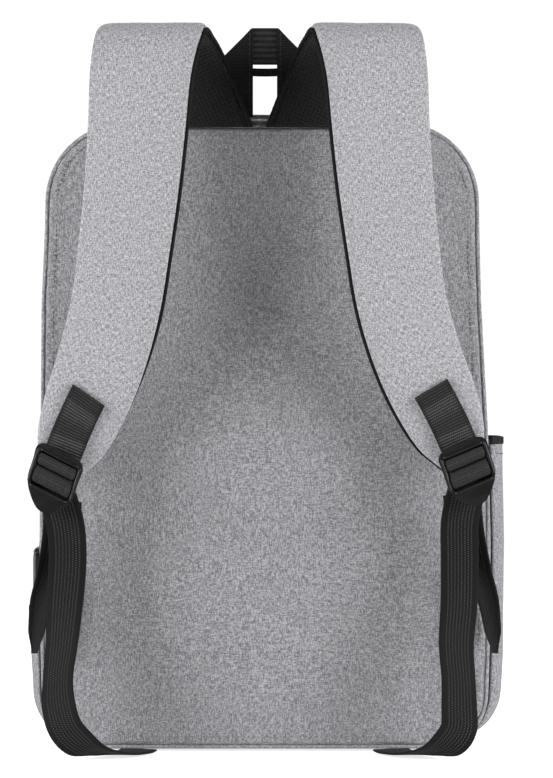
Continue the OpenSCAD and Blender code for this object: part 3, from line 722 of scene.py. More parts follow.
def soft_folds(points, lie):
    """Shallow folds in the cloth: stronger low down and towards the corners."""
    low = 1 - smooth_step(points[:, 2], 10, 120)
    return lie * (wrinkle(points, 75, 1.1, 3.1) + wrinkle(points, 30, 0.5, 9.4) * (0.4 + low))


def body_rings(inset):
    """Rings of the closed form, from its open back to the middle of its front."""
    rows = [(-55.2, 9.2, 7.0, 15.5, 44)] + [tuple(r) for r in FORM]
    rings = []
    for y, side, bottom, drop, radius in rows:
        ring = rounded_outline(BODY_HALF - side - inset, max(bottom, FLOOR_GAP) + inset, BODY_TOP - drop - inset,
                               max(radius - inset, 4), max(BOTTOM_R - side - inset, 4))
        rings.append(upright(ring, y + (inset if y > -50 else 0) * (-1 if y > 0 else 1)))
    hw, low, top, rt, rb = BODY_HALF - 13 - inset, 10 + inset, BODY_TOP - 18 - inset, 46 - inset, 25 - inset
    for i in (3, 8, 16, 28, 44, 62, 82, 102, 120, 131 - inset):
        ring = rounded_outline(hw - i, low + i, top - i, max(rt - i, 3), max(rb - i, 3))
        rings.append(upright(ring, 62.0 - inset))
    return rings


def in_lid(y, z, grow, fold):
    """True where a point seen from the side is in the lid's region, grown by grow."""
    if y > STRIP_Y:
        return z > LID_Z + fold
    r = ZIP_TURN + grow
    if y >= TURN_Y:
        return z >= TURN_Z - r
    if z >= TURN_Z:
        return y >= TURN_Y - r
    return math.hypot(y - TURN_Y, z - TURN_Z) <= r


def cut_along_lid(mesh, grow, fold):
    """Splits the faces that the edge of the lid's region, grown by grow, passes through."""
    r = ZIP_TURN + grow
    y0, z0 = TURN_Y - r, TURN_Z - r
    cuts = [((y0, 200), (1, 0), lambda y, z: z > TURN_Z - 3 and y < TURN_Y),
            ((50, z0), (0, 1), lambda y, z: TURN_Y - 3 < y < STRIP_Y + 4 and z < 70),
            ((STRIP_Y, 50), (1, 0), lambda y, z: 38 < z < 60),
            ((60, LID_Z + fold), (0, 1), lambda y, z: y > STRIP_Y - 3)]
    facets = 8
    for k in range(facets):
        a, b = (math.pi + math.pi / 2 * q / facets for q in (k, k + 1))
        mid = (a + b) / 2
        point = (TURN_Y + r * math.cos(a), TURN_Z + r * math.sin(a))
        cuts.append((point, (math.cos(mid), math.sin(mid)),
                     lambda y, z, a=a, b=b: y < TURN_Y + 3 and z < TURN_Z + 3 and abs(math.hypot(
                         y - TURN_Y, z - TURN_Z) - r) < 9 and a - 0.2 < math.atan2(
                             z - TURN_Z, y - TURN_Y) % (2 * math.pi) < b + 0.2))
    for point, normal, pick in cuts:
        faces = [f for f in mesh.faces if pick(*(q / MM for q in f.calc_center_median()[1:3]))]
        geometry = list({e for f in faces for e in f.edges}) + list({v for f in faces for v in f.verts}) + faces
        bmesh.ops.bisect_plane(mesh, geom=geometry, dist=1e-6, plane_co=(0, point[0] * MM, point[1] * MM),
                               plane_no=(0, *normal))


def body_source(inset, lie):
    rings = body_rings(inset)
    count = len(rings[0])
    points = draw_in(np.concatenate(rings))
    faces = grid_faces(len(rings), count, True)
    last = (len(rings) - 1) * count
    faces.append(tuple(range(last, last + count)))
    source = fix_normals(make_piece("body_source", points, faces, "heather"))
    normals = np.zeros(len(points) * 3)
    source.data.vertices.foreach_get("normal", normals)
    quiet = 1 - 0.92 * smooth_step(points[:, 1], 52, 60)
    points = points + normals.reshape(-1, 3) * (soft_folds(points, lie) * quiet)[:, None]
    points[:, 2] = np.maximum(points[:, 2], 2.3 + inset * 0.5)
    source.data.vertices.foreach_set("co", (points * MM).ravel())
    mesh = bmesh.new()
    mesh.from_mesh(source.data)
    for grow, fold in ((ZIP_HALF, -FOLD_GAP), (0, 0), (-ZIP_HALF, FOLD_GAP)):
        cut_along_lid(mesh, grow, fold)
    mesh.normal_update()
    bpy.data.objects.remove(source)
    return mesh


def part_of(source, name, keep, material, thick, sink=0.0):
    """The faces of the source whose middle passes keep(y, z), as a piece of its own thickness."""
    mesh = source.copy()
    bmesh.ops.delete(mesh, geom=[f for f in mesh.faces if not keep(*(q / MM for q in f.calc_center_median()[1:3]))],
                     context="FACES")
    for v, place in [(v, v.co - v.normal * sink * MM) for v in mesh.verts]:
        v.co = place
    data = bpy.data.meshes.new(name)
    mesh.to_mesh(data)
    mesh.free()
    data.materials.append(MAT[material])
    data.polygons.foreach_set("use_smooth", [True] * len(data.polygons))
    piece = add_object(name, data)
    modify(piece, "SOLIDIFY", thickness=thick * MM, offset=-1)
    return apply_modifiers(piece)


def zip_line(grow, lift):
    """Points and normals along the main zip, from the right end over the top to the left end."""
    y0, r = ZIP_Y - grow, ZIP_TURN + grow
    side = [(y, TURN_Z - r) for y in (STRIP_Y - 1, 50, 49)]
    side += [(TURN_Y - r * math.sin(a), TURN_Z - r * math.cos(a)) for a in np.linspace(0, math.pi / 2, 10)]
    rows = [(body_at(y)[0] + lift, y, z, 1, 0, 0) for y, z in side]
    hw, _, top, rt, _ = body_at(y0)
    rows += [(hw + lift, y0, z, 1, 0, 0) for z in np.linspace(72, top - rt, 40)]
    rows += [(hw - rt + (rt + lift) * math.cos(a), y0, top - rt + (rt + lift) * math.sin(a), math.cos(a), 0,
              math.sin(a)) for a in np.linspace(0, math.pi / 2, 20)[1:]]
    rows += [(x, y0, top + lift, 0, 0, 1) for x in np.linspace(hw - rt, 0, 14)[1:]]
    right = np.array(rows)
    whole = np.concatenate([right, right[-2::-1] * [-1, 1, 1, -1, 1, 1]])
    whole[:, :3] = draw_in(whole[:, :3])
    return whole[:, :3], whole[:, 3:]


def coil_row(name, line, normals, toward, pitch=1.7, reach=2.5, radius=0.62):
    """One row of a zip's coil: a small rounded loop for each tooth, on one side of the line."""
    rows = even(np.concatenate([line, np.broadcast_to(normals, line.shape)], 1), pitch)
    t = tangents(rows)
    n = unit(rows[:, 3:6])
    side = unit(np.cross(t, n))
    side *= np.sign(side @ np.array(toward, float))[:, None]
    shape = ((-0.3, 0.5, 0.1), (0.2, 1.0, 0.25), (1.2, 0.85, 0.2), (reach, 0.7, -0.1))
    forms = [[[rows[i, :3] + side[i] * out + n[i] * rise
               + radius * width * (t[i] * math.cos(a) + 1.1 * n[i] * math.sin(a)) for a in SIX]
              for out, width, rise in shape] for i in range(len(rows))]
    return spindles(name, forms, "coil")


def make_body():
    source = body_source(0.0, 1.0)
    rear = part_of(source, "rear_gusset", lambda y, z: not in_lid(y, z, ZIP_HALF, -FOLD_GAP), "heather", CLOTH_THICK)
    put(rear, "bag", "grey_fabric", "rear_shell")
    lid = part_of(source, "lid_face", lambda y, z: in_lid(y, z, -ZIP_HALF, FOLD_GAP), "heather", CLOTH_THICK)
    put(lid, "front_lid", "grey_fabric", "front_shell")
    for label, body, wide, narrow in (("rear", "bag", (ZIP_HALF, -FOLD_GAP), (0, 0)),
                                      ("front", "front_lid", (0, 0), (-ZIP_HALF, FOLD_GAP))):
        tape = part_of(source, f"main_zip_{label}_tape", lambda y, z: y < STRIP_Y and in_lid(y, z, *wide)
                       and not in_lid(y, z, *narrow), "tape", TAPE_THICK, TAPE_SINK)
        put(tape, body, "zip_tape", label + "_zip_tape")
    source.free()
    line, normals = zip_line(0, -0.2)
    put(coil_row("main_zip_rear_coil", line, normals, (0, -1, 0)), "bag", "zip_tape")
    put(coil_row("main_zip_front_coil", line + [0, 0.15, 0], normals, (0, 1, 0)), "front_lid", "zip_tape")
    for label, grow, body in (("rear", 9, "bag"), ("front", -9, "front_lid")):
        line, normals = zip_line(grow, 0.35)
        put(stitches(f"main_zip_{label}_stitches", line, "thread_grey", normals=normals), body, "grey_fabric")
    inner = body_source(LINING_INSET, 0.7)
    lining = part_of(inner, "lining_cloth_rear", lambda y, z: y > -50 and not in_lid(
        y, z, ZIP_HALF + 1, -0.8), "lining", LINING_THICK)
    put(lining, "bag", "dark_fabric", "bag_lining")
    lid_cloth = part_of(inner, "lining_cloth_lid", lambda y, z: in_lid(y, z, -ZIP_HALF - 1, 0.8), "lining",
                        LINING_THICK)
    put(lid_cloth, "front_lid", "dark_fabric", "lid_lining")
    inner.free()


# ---------------------------------------------------------------- back panel and pipings

PANEL_HALF, SEAM_Z, PANEL_LOW, PANEL_RT, PANEL_RB = 145.5, 416, 5, 48, 32


def panel(name, steps, half, low, top, rt, rb, material):
    """A closed padded panel: each step is (inset, y)."""
    return closed_form(name, [upright(rounded_outline(half - i, low + i, top - i, max(rt - i, 3), max(rb - i, 3)), y)
                              for i, y in steps], material)


def change_points(piece, change):
    """Moves a piece's points by change(points, normals), in millimetres."""
    count = len(piece.data.vertices)
    points, normals = np.zeros(count * 3), np.zeros(count * 3)
    piece.data.vertices.foreach_get("co", points)
    piece.data.vertices.foreach_get("normal", normals)
    points = change(points.reshape(-1, 3) / MM, normals.reshape(-1, 3))
    piece.data.vertices.foreach_set("co", (points * MM).ravel())
    piece.data.update()
    return piece


def make_back():
    outer = [(6, -55.4), (1.5, -55.6), (0.4, -56.6), (0, -58.4), (0.3, -59.8), (1.2, -60.7), (3.0, -61.2)]
    middle = [(i, -61.3 - 0.9 * float(smooth_step(i, 4, 60))) for i in (6, 9, 13, 18, 24, 32, 42, 54, 68, 84, 102,
                                                                     120, 134)]
    steps = [(120, -55.2)] + outer + middle
    piece = panel("back_padding", steps, PANEL_HALF, PANEL_LOW, SEAM_Z, PANEL_RT, PANEL_RB, "heather")

    def crown(p, n):
        inside = np.minimum(PANEL_HALF - np.abs(p[:, 0]), np.minimum(p[:, 2] - PANEL_LOW, SEAM_Z - p[:, 2]))
        weight = smooth_step(inside, 2, 30)
        pucker = np.sin(p[:, 2] / 5.5 + 3 * np.sin(p[:, 2] / 37)) * 0.35 * (1 - smooth_step(inside, 4, 22))
        p = p + n * (weight * wrinkle(p, 95, 1.6, 5.0) + weight * wrinkle(p, 38, 0.5, 1.7) + pucker)[:, None]
        return settle(p)

    change_points(piece, crown)
    put(piece, "bag", "grey_fabric", "back_panel")
    low, top, half, rt, rb = 3.3, 417.6, 147.1, 49.6, 34.4
    line = settle(upright(rounded_outline(half, low, top, rt, rb), -58.2))
    piping = tube("back_seam_piping", line, 1.5, "heather_trim_painted_light", 12, closed=True)
    put(piping, "bag", "grey_fabric", "back_piping")
    seam = rounded_outline(PANEL_HALF - 5, PANEL_LOW + 5, SEAM_Z - 5, PANEL_RT - 5, PANEL_RB - 5)
    line = settle(upright(seam, -61.25))
    put(stitches("back_seam_stitches", line, "thread_grey", radius=0.26), "bag", "grey_fabric")


def make_front_piping():
    half, top, y, radius = 145.6, 422.5, 58.4, 52.5
    foot = LID_Z + 8
    arc = [(half - radius + radius * math.cos(a), y, top - radius + radius * math.sin(a))
           for a in np.linspace(0, math.pi / 2, 20)]
    right = [(half, y, z) for z in np.linspace(foot, top - radius, 40)[:-1]] + arc
    right += [(x, y, top) for x in np.linspace(half - radius, 0, 16)[1:]]
    right = np.array(right)
    line = draw_in(np.concatenate([right, right[-2::-1] * [-1, 1, 1]]))
    put(tube("lid_edge_piping", line, 1.9, "heather_trim_painted_light", 12), "front_lid", "grey_fabric", "front_piping")
    line = [(x, 64.2 + 0.25 * math.sin(x / 19), LID_Z) for x in np.linspace(-118, 118, 60)]
    put(tube("lid_fold_piping", line, 1.6, "heather_trim_painted_light", 12), "bag", "grey_fabric", "lid_hinge_piping")


# ---------------------------------------------------------------- straps

LEAN_IN, RISE = 7.5, 5
SEW_Z = 416.4
# The strap: x, y, z, half width and twist.
STRAP_ROUTE = [
    (37, -61.5, 404, 30, 0), (54, -65, 442, 32, 0), (65, -74, 464, 33, 0), (72, -92, 476, 34, 0),
    (77, -109, 468, 34, 0), (80.5, -118, 446, 33, 0), (82.5, -120, 415, 32, 0), (86, -118, 375, 31, 0),
    (91, -113, 335, 30, 0), (97, -106, 297, 29.5, 0), (107, -98, 260, 29, 0), (119, -90, 228, 27.5, 0),
    (129, -84, 202, 22, 0), (133, -81, 184, 10, 0)]
# Webbing: x, y, z and twist.
TAPE_ROUTE = [(115, -99.8, 238, 0), (120, -97.2, 228, 0), (126.5, -94.2, 214, 0), (131, -92.5, 203, 0),
              (133.4, -92.2, 197.5, 5), (135.6, -95.4, 192, 12)]
RUN_LEAN = 8.5
WEB_ROUTE = [(84, -62.6, 1.6, 0), (88, -76, 1.7, 0), (101, -95, 3.2, 0), (116, -107, 8.5, 6), (128.5, -110.5, 20, 18),
             (134, -108, 36, 26), (135, -101, 53, 34), (133, -96, 75, 28), (131.3, -92, 100, 14), (129.5, -90, 128, 0),
             (130.5, -89, 150, 0), (135, -89.6, 168, 0)]
TAIL_ROUTE = [(133, -84.5, 168, 0), (134.5, -82, 144, 12), (140, -78, 122, 35), (148.5, -74, 100, 60),
              (152.5, -74.5, 67, 75)]


def webbing(route):
    """The route with the webbing's half width put in before the twist."""
    return np.insert(np.array(route, float), 3, WEB_HALF, axis=1)


def web_points(sign):
    """The right run stands nearer the middle low down, and is turned less."""
    route = webbing(WEB_ROUTE)
    if sign > 0:
        route[:, 0] -= RUN_LEAN * (smooth_step(route[:, 2], 5, 45) - smooth_step(route[:, 2], 60, 130))
        route[:, 4] *= 0.7
    return route


def hung(route, side):
    """A route drawn for the left side, put on the left or the right strap."""
    p = np.array(route, float)
    x, z = p[:, 0].copy(), p[:, 2].copy()
    p[:, 0] = -x if side < 0 else x - LEAN_IN * smooth_step(z, 60, 300)
    if side > 0:
        p[:, 2] = z + RISE * (smooth_step(z, 60, 180) - smooth_step(z, 210, 330))
    p[:, 4] *= side
    return p


def strap_section(half, height, low):
    """A pad's section: a low dome over a flat underside, with round edges."""
    top = [(half * math.cos(a), low + height * max(math.sin(a), 0) ** 0.42) for a in np.linspace(0, math.pi, 23)]
    under = [(x, low) for x in np.linspace(-half, half, 9)[1:-1]]
    return np.array(top + under)


def join_fold(piece, side, slot, *nodes):
    """The piece starts flat along the seam, and bends across the fold at its top, where the real pad swings; here it
    rides no body.
    """
    change_points(piece, lambda p, n: np.where((p[:, 2:] < SEW_Z) & (p[:, 1:2] > -80) & (p[:, 2:] > 380),
                                               np.stack([p[:, 0], np.minimum(p[:, 1], -60.9),
                                                         SEW_Z + 0.02 * (p[:, 2] - SEW_Z)], 1), p))
    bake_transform(piece)
    if nodes:
        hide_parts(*nodes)


def make_strap(side, sign):
    path = even(spline(hung(STRAP_ROUTE, sign), 12), 4.0)
    along = lengths(path)
    grown = 0.35 + 0.65 * smooth_step(along, 8, 46)

    def cover(i):
        s = strap_section(path[i, 3] - 0.3, 6.8 * grown[i], -0.9 * grown[i])
        fold = wrinkle(np.stack([s[:, 0] + sign * 200, np.full(len(s), along[i]), s[:, 1]], 1), 28, 0.35, 2.0)
        s[:23, 1] += fold[:23] * 0.8
        return s

    # The cover uses the lighter strap copy of the heather: painted light.
    pad = band(side + "_strap_cover", path, cover, "heather_strap_painted_light")
    join_fold(pad, side, "grey_fabric", side + "_strap_riser", side + "_strap_pad")
    mesh = band(side + "_strap_underside", path, lambda i: np.array(
        [(x * path[i, 3] * 0.965, y * grown[i]) for x, y in
         ((-0.97, -1.3), (0.97, -1.3), (1, -2.0), (0.97, -3.0), (0.6, -3.5), (0, -3.7), (-0.6, -3.5),
          (-0.97, -3.0), (-1, -2.0))]), "mesh")
    join_fold(mesh, side, "black_mesh", side + "_strap_mesh")
    fine = even(path, 1.1)
    w = band_frames(fine)[2]
    angles = np.linspace(0, 2 * math.pi, 10, endpoint=False)
    across = np.sign(w @ np.array(ACROSS))
    # The inner binding thins towards the buckle, more on the left strap than on the right.
    low, high, least, rest, tuck = (228, 300, 0.36, 0.64, 1.1) if sign < 0 else (170, 260, 0.7, 0.3, 0.2)
    thin = smooth_step(fine[:, 2], low, high)
    beads = 0.95 + 0.05 * np.sin(lengths(fine) * 2 * math.pi / 4.2)
    lasting = {"inner": beads * (least + rest * thin), "outer": beads}
    for label, toward, out, depth, radius in (("inner", -sign, 0.5, -1.5, 1.5), ("outer", sign, -2.2, -2.6, 1.0)):
        inset = (1.0 - thin) * (tuck if label == "inner" else 0.2)
        centre = [(toward * across[i] * (fine[i, 3] + out - inset[i]), depth * (0.5 + 0.5 * min(1, i / 30)))
                  for i in range(len(fine))]
        sections = [np.array([(c[0] + radius * b * math.cos(a), c[1] + radius * b * 1.15 * math.sin(a))
                              for a in angles]) for c, b in zip(centre, lasting[label])]
        piece = band(f"{side}_strap_binding_{label}", fine, lambda i, s=sections: s[i], "binding")
        join_fold(piece, side, "webbing", *([side + "_strap_binding"] if label == "inner" else []))


# ---------------------------------------------------------------- buckles and webbing

LOCK_Y, BAR_A, BAR_B, BAR_MID = -99.7, 10.5, 21, 15.2
BAR_R, MID_R = 2.0, 1.0
BAR_LEAN = {-1: math.radians(27), 1: math.radians(23)}
SIDE_LEAN = math.radians(18)


def at_lock(side_sign):
    """Places points of the buckle's own frame: x across, y out of the strap is negative, z down from 0.
    The bars lean a little more than the sides do, because the buckle is turned out of the strap's plane."""
    base = hung([(132.5, LOCK_Y, 201, 0, 0)], side_sign)[0]
    a, b = -BAR_LEAN[side_sign] * side_sign, -SIDE_LEAN * side_sign

    def warp(p):
        p = np.asarray(p, float)
        x = p[:, 0] * math.cos(a) + p[:, 2] * math.sin(b)
        z = -p[:, 0] * math.sin(a) + p[:, 2] * math.cos(b)
        return np.stack([x + base[0], p[:, 1] + base[1], z + base[2]], 1)
    return warp


def roll(name, warp, bar_z, ry, rz, material, half=12.4):
    """A fat turn of webbing round a bar, with the ribs along the bar."""
    stations = [(-half, 0.72), (-half + 0.35, 0.9), (-half + 0.9, 1.0)]
    stations += [(x, 1.0 + 0.012 * math.sin(x * 1.9)) for x in np.linspace(-half + 2, half - 2, 9)]
    stations += [(-x, k) for x, k in stations[2::-1]]
    sides = 28
    rings, uvs = [], []
    for x, k in stations:
        turns = [2 * math.pi * q / sides for q in range(sides)]
        rings.append(warp([(x, ry * k * math.cos(a) - 0.3, -bar_z + rz * k * math.sin(a)) for a in turns]))
        uvs += [((x + half) * MM, abs(q - sides / 2) * 2 * math.pi * rz / sides * MM) for q in range(sides)]
    return closed_form(name, rings, material, uvs)


def mirrored(corners):
    """An outline with corners on its right half, each (x, z, radius), completed on the left."""
    return soft_polygon(corners + [(-x, z, r) for x, z, r in corners[::-1]])


def make_lock(side, sign):
    warp = at_lock(sign)
    outline = mirrored([(13, 0.3, 3), (17.3, -3.4, 4), (16.5, -13, 7), (16.8, -24, 6), (14.2, -30.5, 5), (9, -37, 5),
                        (3.6, -41.4, 4)])
    hole = soft_polygon([(-13.7, -5.2, 1.6), (13.7, -5.2, 1.6), (13.7, -27.6, 1.6), (-13.7, -27.6, 1.6)])
    frame_piece = plate(side + "_lock_frame", [outline, hole], -2.2, 3.0, 0.9, "plastic", warp)
    put(frame_piece, side + "_lock", "black_plastic", side + "_ladder_lock")
    rails = [[(x, -2.1, z) for z in np.linspace(-3.8, -27, 12)] for x in (-15.2, 15.2)]
    rails += [[(x, y, z) for x in np.linspace(-reach, reach, 14)]
              for y, z, reach in ((-2.2, -28.6, 13.6), (-2.1, -4.3, 13.8))]
    for number, line in enumerate(rails):
        radius = 1.1 * np.sin(np.linspace(0.35, math.pi - 0.35, len(line))) ** 0.4
        put(tube(f"{side}_lock_rail_{number}", warp(line), radius, "plastic", 12), side + "_lock", "black_plastic")
    for number, (z, y, r) in enumerate(((BAR_A, 0, BAR_R), (BAR_B, 0, BAR_R), (BAR_MID, -0.8, MID_R))):
        line = [(x, y, -z) for x in np.linspace(-14.6, 14.6, 8)]
        put(tube(f"{side}_lock_bar_{number}", warp(line), r, "plastic", 14), side + "_lock", "black_plastic")
    put(roll(side + "_webbing_turn", warp, BAR_B - 0.4, 4.0, 5.2, "rib_fine", 13.3), side + "_lock", "webbing",
        side + "_webbing_wrap")
    put(roll(side + "_tape_turn", warp, BAR_A - 0.4, 3.7, 3.9, "rib_fine", 13.3), side + "_strap", "webbing")
    behind = soft_polygon([(-15, -5, 1), (15, -5, 1), (15, -28.4, 1), (-15, -28.4, 1)])
    put(plate(side + "_lock_back_turn", [behind], 3.6, 5.0, 0.3, "rib_fine", warp), side + "_lock", "webbing")


def make_tape(side, sign):
    path = even(spline(hung(webbing(TAPE_ROUTE), sign), 8), 1.5)
    along = lengths(path)

    def section(i):
        hem = 1.0 + 0.9 * (1 - float(smooth_step(along[i], 8.5, 10.5))) * float(smooth_step(along[i], -1, 1.2))
        s = np.array(strip_section(WEB_HALF, 1.7 * hem))
        s[:, 1] += 0.85 * (hem - 1)
        return s

    t, n, w = band_frames(path)
    piece = band(side + "_anchor_webbing", path, section, "anchor")
    lean = 0.17 if sign < 0 else 0.05

    def shear(p, _):
        """The top edge is cut at a slant, which dies out towards the buckle."""
        off = p - path[0, :3]
        slant = (off @ w[0]) * -sign * np.sign(w[0][0]) * (1 - smooth_step(off @ t[0], 8, 34))
        return p + (t[0] * lean) * slant[:, None]

    change_points(piece, shear)
    put(piece, side + "_strap", "webbing", side + "_anchor_tape")
    for k, at in enumerate((2.2, 8.0)):
        i = int(np.argmin(abs(along - at)))
        line = [path[i, :3] + w[i] * q + n[i] * 1.9 for q in np.linspace(-11, 11, 24)]
        put(stitches(f"{side}_anchor_stitches_{k}", line, "thread_black", normals=n[i], pitch=2.6, length=1.9,
                     radius=0.24), side + "_strap", "webbing")


def make_webbing(side, sign):
    warp = at_lock(sign)
    top = warp([(0, 3.8, -BAR_B)])[0]
    route = np.vstack([hung(web_points(sign), sign), [[*top, WEB_HALF, 0]]])
    path = even(spline(route, 10), 2.5)

    def section(i):
        s = np.array(strip_section(WEB_HALF, WEB_THICK, 10))
        lie = wrinkle([(path[i, 2] + sign * 300, 0, 0)], 60, 0.6)[0]
        s[:, 1] += lie * (s[:, 0] / WEB_HALF) ** 2
        return s

    piece = band(side + "_adjuster_webbing", path, section, "web")
    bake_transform(piece)
    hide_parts(side + "_webbing_loop", side + "_webbing_run")
    path = even(spline(hung(webbing(TAIL_ROUTE), sign), 10), 2.0)
    along = lengths(path)
    narrow = 1 - 0.55 * smooth_step(along, along[-1] - 16, along[-1])
    tail = band(side + "_hanging_tail", path, lambda i: np.array(strip_section(
        WEB_HALF * narrow[i], WEB_THICK, 10)), "web")
    put(tail, side + "_tail", "webbing", side + "_webbing_tail")


# ---------------------------------------------------------------- handle

def make_handle():
    foot, top, y = 423.6, 483.6, -57.0

    def bow(z):
        return 1.2 * np.sin((z - foot) / 60 * math.pi)

    def bent(p):
        return np.stack([p[:, 0], y + p[:, 1] * 0.8 - bow(p[:, 2]), p[:, 2]], 1)

    legs = []
    for side, sign in SIDES.items():
        corners = [(sign * 8, foot, 0.3), (sign * 33, foot, 0.3), (sign * 33, top - 25, 1.2), (sign * 8, top, 1.2)]
        legs.append(plate(side + "_handle_leg", [soft_polygon(corners)], -1.9, -0.4, 0.5, "rib_object", bent))
    corners = [(-32, top - 25, 1), (32, top - 25, 1), (9, top - 0.4, 1), (-9, top - 0.4, 1)]
    grip = plate("handle_grip_band", [soft_polygon(corners)], -0.2, 1.4, 0.5, "rib_wide", bent)
    put(grip, "carry_handle", "webbing", "carry_handle")
    for leg in legs:
        put(leg, "carry_handle", "webbing")
    for side, sign in SIDES.items():
        for k, (x, end) in enumerate(((10.2, top - 5), (30.8, top - 29))):
            line = [(sign * x, y - 2.25 - bow(z), z) for z in np.linspace(foot + 2, end, 30)]
            put(stitches(f"{side}_handle_stitches_{k}", line, "thread_black", radius=0.22, lift=-0.05),
                "carry_handle", "webbing")
    centre = np.array([(x, -55.2 - 0.5 * math.cos(x / 13), 454.8 - 1.2 * math.cos(x / 13))
                       for x in np.linspace(-20, 20, 30)])
    loop = swept("hanging_loop", centre, UP, (0, -1.0, 0), strip_section(2.7, 1.3), "rib")
    put(loop, "carry_handle", "webbing", "hang_loop")


# ---------------------------------------------------------------- side pockets

def pocket_surface(sign, high, y0=-48.0, length=70.0, foot=7.0, rows=72, cols=56):
    """Rows of points over a side pocket's outside, from its foot under the corner to its mouth."""
    grid = []
    fullness = 1.0 if sign > 0 else 0.72
    for r in range(rows):
        v = r / (rows - 1)
        z = foot + (high - foot) * v
        low = max(BOTTOM_R - z, 0)
        wall = BODY_HALF - BOTTOM_R + math.sqrt(BOTTOM_R ** 2 - low ** 2) if low else BODY_HALF
        out = np.interp(z, [foot, 17, 30, 44, 60], [0.6, 5.8, 7.6, 8.4, 9.0]) * fullness
        row = []
        for c in range(cols):
            u = c / (cols - 1)
            edge = min(1.0, 1.02 * (1 - abs(2 * u - 1) ** 5))
            gather = 0.45 * math.sin(u * 88 + 2 * math.sin(v * 9)) * float(smooth_step(z, high - 26, high)) * edge
            x = wall + 0.9 + out * edge + gather + 0.5 * math.sin(v * 7 + u * 5) * edge * (1 - v)
            row.append((sign * x, y0 + length * u, z))
        grid.append(row)
    return settle(np.array(grid).reshape(-1, 3)).reshape(rows, cols, 3)


def make_side_pocket(side, sign, high):
    grid = pocket_surface(sign, high)
    rows, cols = grid.shape[:2]
    cloth = fix_normals(make_piece(side + "_pocket_cloth", grid.reshape(-1, 3), grid_faces(rows, cols), "heather"))
    if (cloth.data.polygons[rows * cols // 2].normal.x > 0) != (sign > 0):
        cloth.data.flip_normals()
    modify(cloth, "SOLIDIFY", thickness=1.2 * MM, offset=-1)
    apply_modifiers(cloth)
    put(cloth, "bag", "grey_fabric", side + "_side_pocket")
    seam = 10
    wide = max(lengths(row)[-1] for row in grid) + seam
    tall = max(lengths(grid[:, c])[-1] for c in range(cols)) + seam
    rim = grid[-1]
    out = unit(np.cross(tangents(rim), UP) * -sign * np.sign((rim[-1] - rim[0])[1]))
    out[:, 2] = 0
    hem = swept(side + "_pocket_elastic", rim + [0, 0, 0.4], UP, -out if (out[cols // 2][0] > 0) != (sign > 0)
                else out, strip_section(2.6, 1.9), "rib")
    put(hem, "bag", "webbing", side + "_pocket_hem")
    row = grid[-4, 3:-3] + [sign * 0.3, 0, 0]
    put(stitches(side + "_pocket_stitches", row, "thread_black", normals=(sign, 0, 0), radius=0.24),
        "bag", "grey_fabric")


# ---------------------------------------------------------------- the lid's outside

def make_front_pocket():
    steps = [(58, 62.4), (4, 62.4), (0.5, 62.7), (0, 64), (0.2, 68), (1.2, 71), (3.2, 73.6), (6.5, 75.4),
             (11, 76.4), (18, 76.9), (27, 77.1), (38, 77.2), (50, 77.3), (58, 77.3)]
    piece = panel("front_pocket_cloth", steps, 118, 60, 192, 14, 14, "heather")

    def folds(p, n):
        weight = smooth_step(p[:, 1], 63, 70)
        crease = 0.6 * np.exp(-((p[:, 2] - 70 - 10 * np.cos(p[:, 0] / 50)) / 6) ** 2)
        return p + n * (weight * (wrinkle(p, 42, 1.2, 4.4) + wrinkle(p, 17, 0.4, 8.1) - crease))[:, None]

    change_points(piece, folds)
    put(piece, "front_lid", "grey_fabric", "front_pocket")
    line = upright(rounded_outline(118.6, 59.6, 192.4, 14, 14), 63.2)
    put(tube("front_pocket_piping", line, 1.1, "heather_trim_painted_light", 10, closed=True), "front_lid", "grey_fabric")
    line = np.array([(x, 63.9, 199.0) for x in np.linspace(-104, 104, 120)])
    tape = swept("pocket_zip_cloth", np.array([(x, 62.8, 199.0) for x in np.linspace(-108, 108, 40)]), UP, BACK,
                 strip_section(6.2, 0.9), "tape")
    put(tape, "front_lid", "zip_tape", "pocket_zip_tape")
    for label, toward in (("low", (0, 0, -1)), ("high", (0, 0, 1))):
        coil = coil_row(f"pocket_zip_coil_{label}", line, BACK, toward, pitch=1.5, reach=1.7, radius=0.5)
        put(coil, "front_lid", "zip_tape")
    for z in (193.9, 204.1):
        line = [(x, 63.2, z) for x in np.linspace(-107, 107, 90)]
        put(stitches(f"pocket_zip_stitches_{int(z)}", line, "thread_grey", normals=BACK, radius=0.26),
            "front_lid", "grey_fabric")


def make_solar():
    dress("coated", "solar_backing")
    dress("coated", "solar_border", bevel=0.5)
    dress("cell", "solar_cells")
    dress("film", "solar_film")
    dress("steel", "solar_rivets", bevel=0.2)
    low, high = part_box("solar_border")
    z0, z1, half = low.z / MM, high.z / MM, high.x / MM
    for k, inset in enumerate((2.2, 11.4)):
        ring = rounded_outline(half - inset, z0 + inset, z1 - inset, max(9 - inset, 2.5), max(9 - inset, 2.5))
        put(stitches(f"solar_border_stitches_{k}", upright(ring, high.y / MM), "thread_grey", normals=BACK,
                     radius=0.28), "front_lid", "base_cloth")


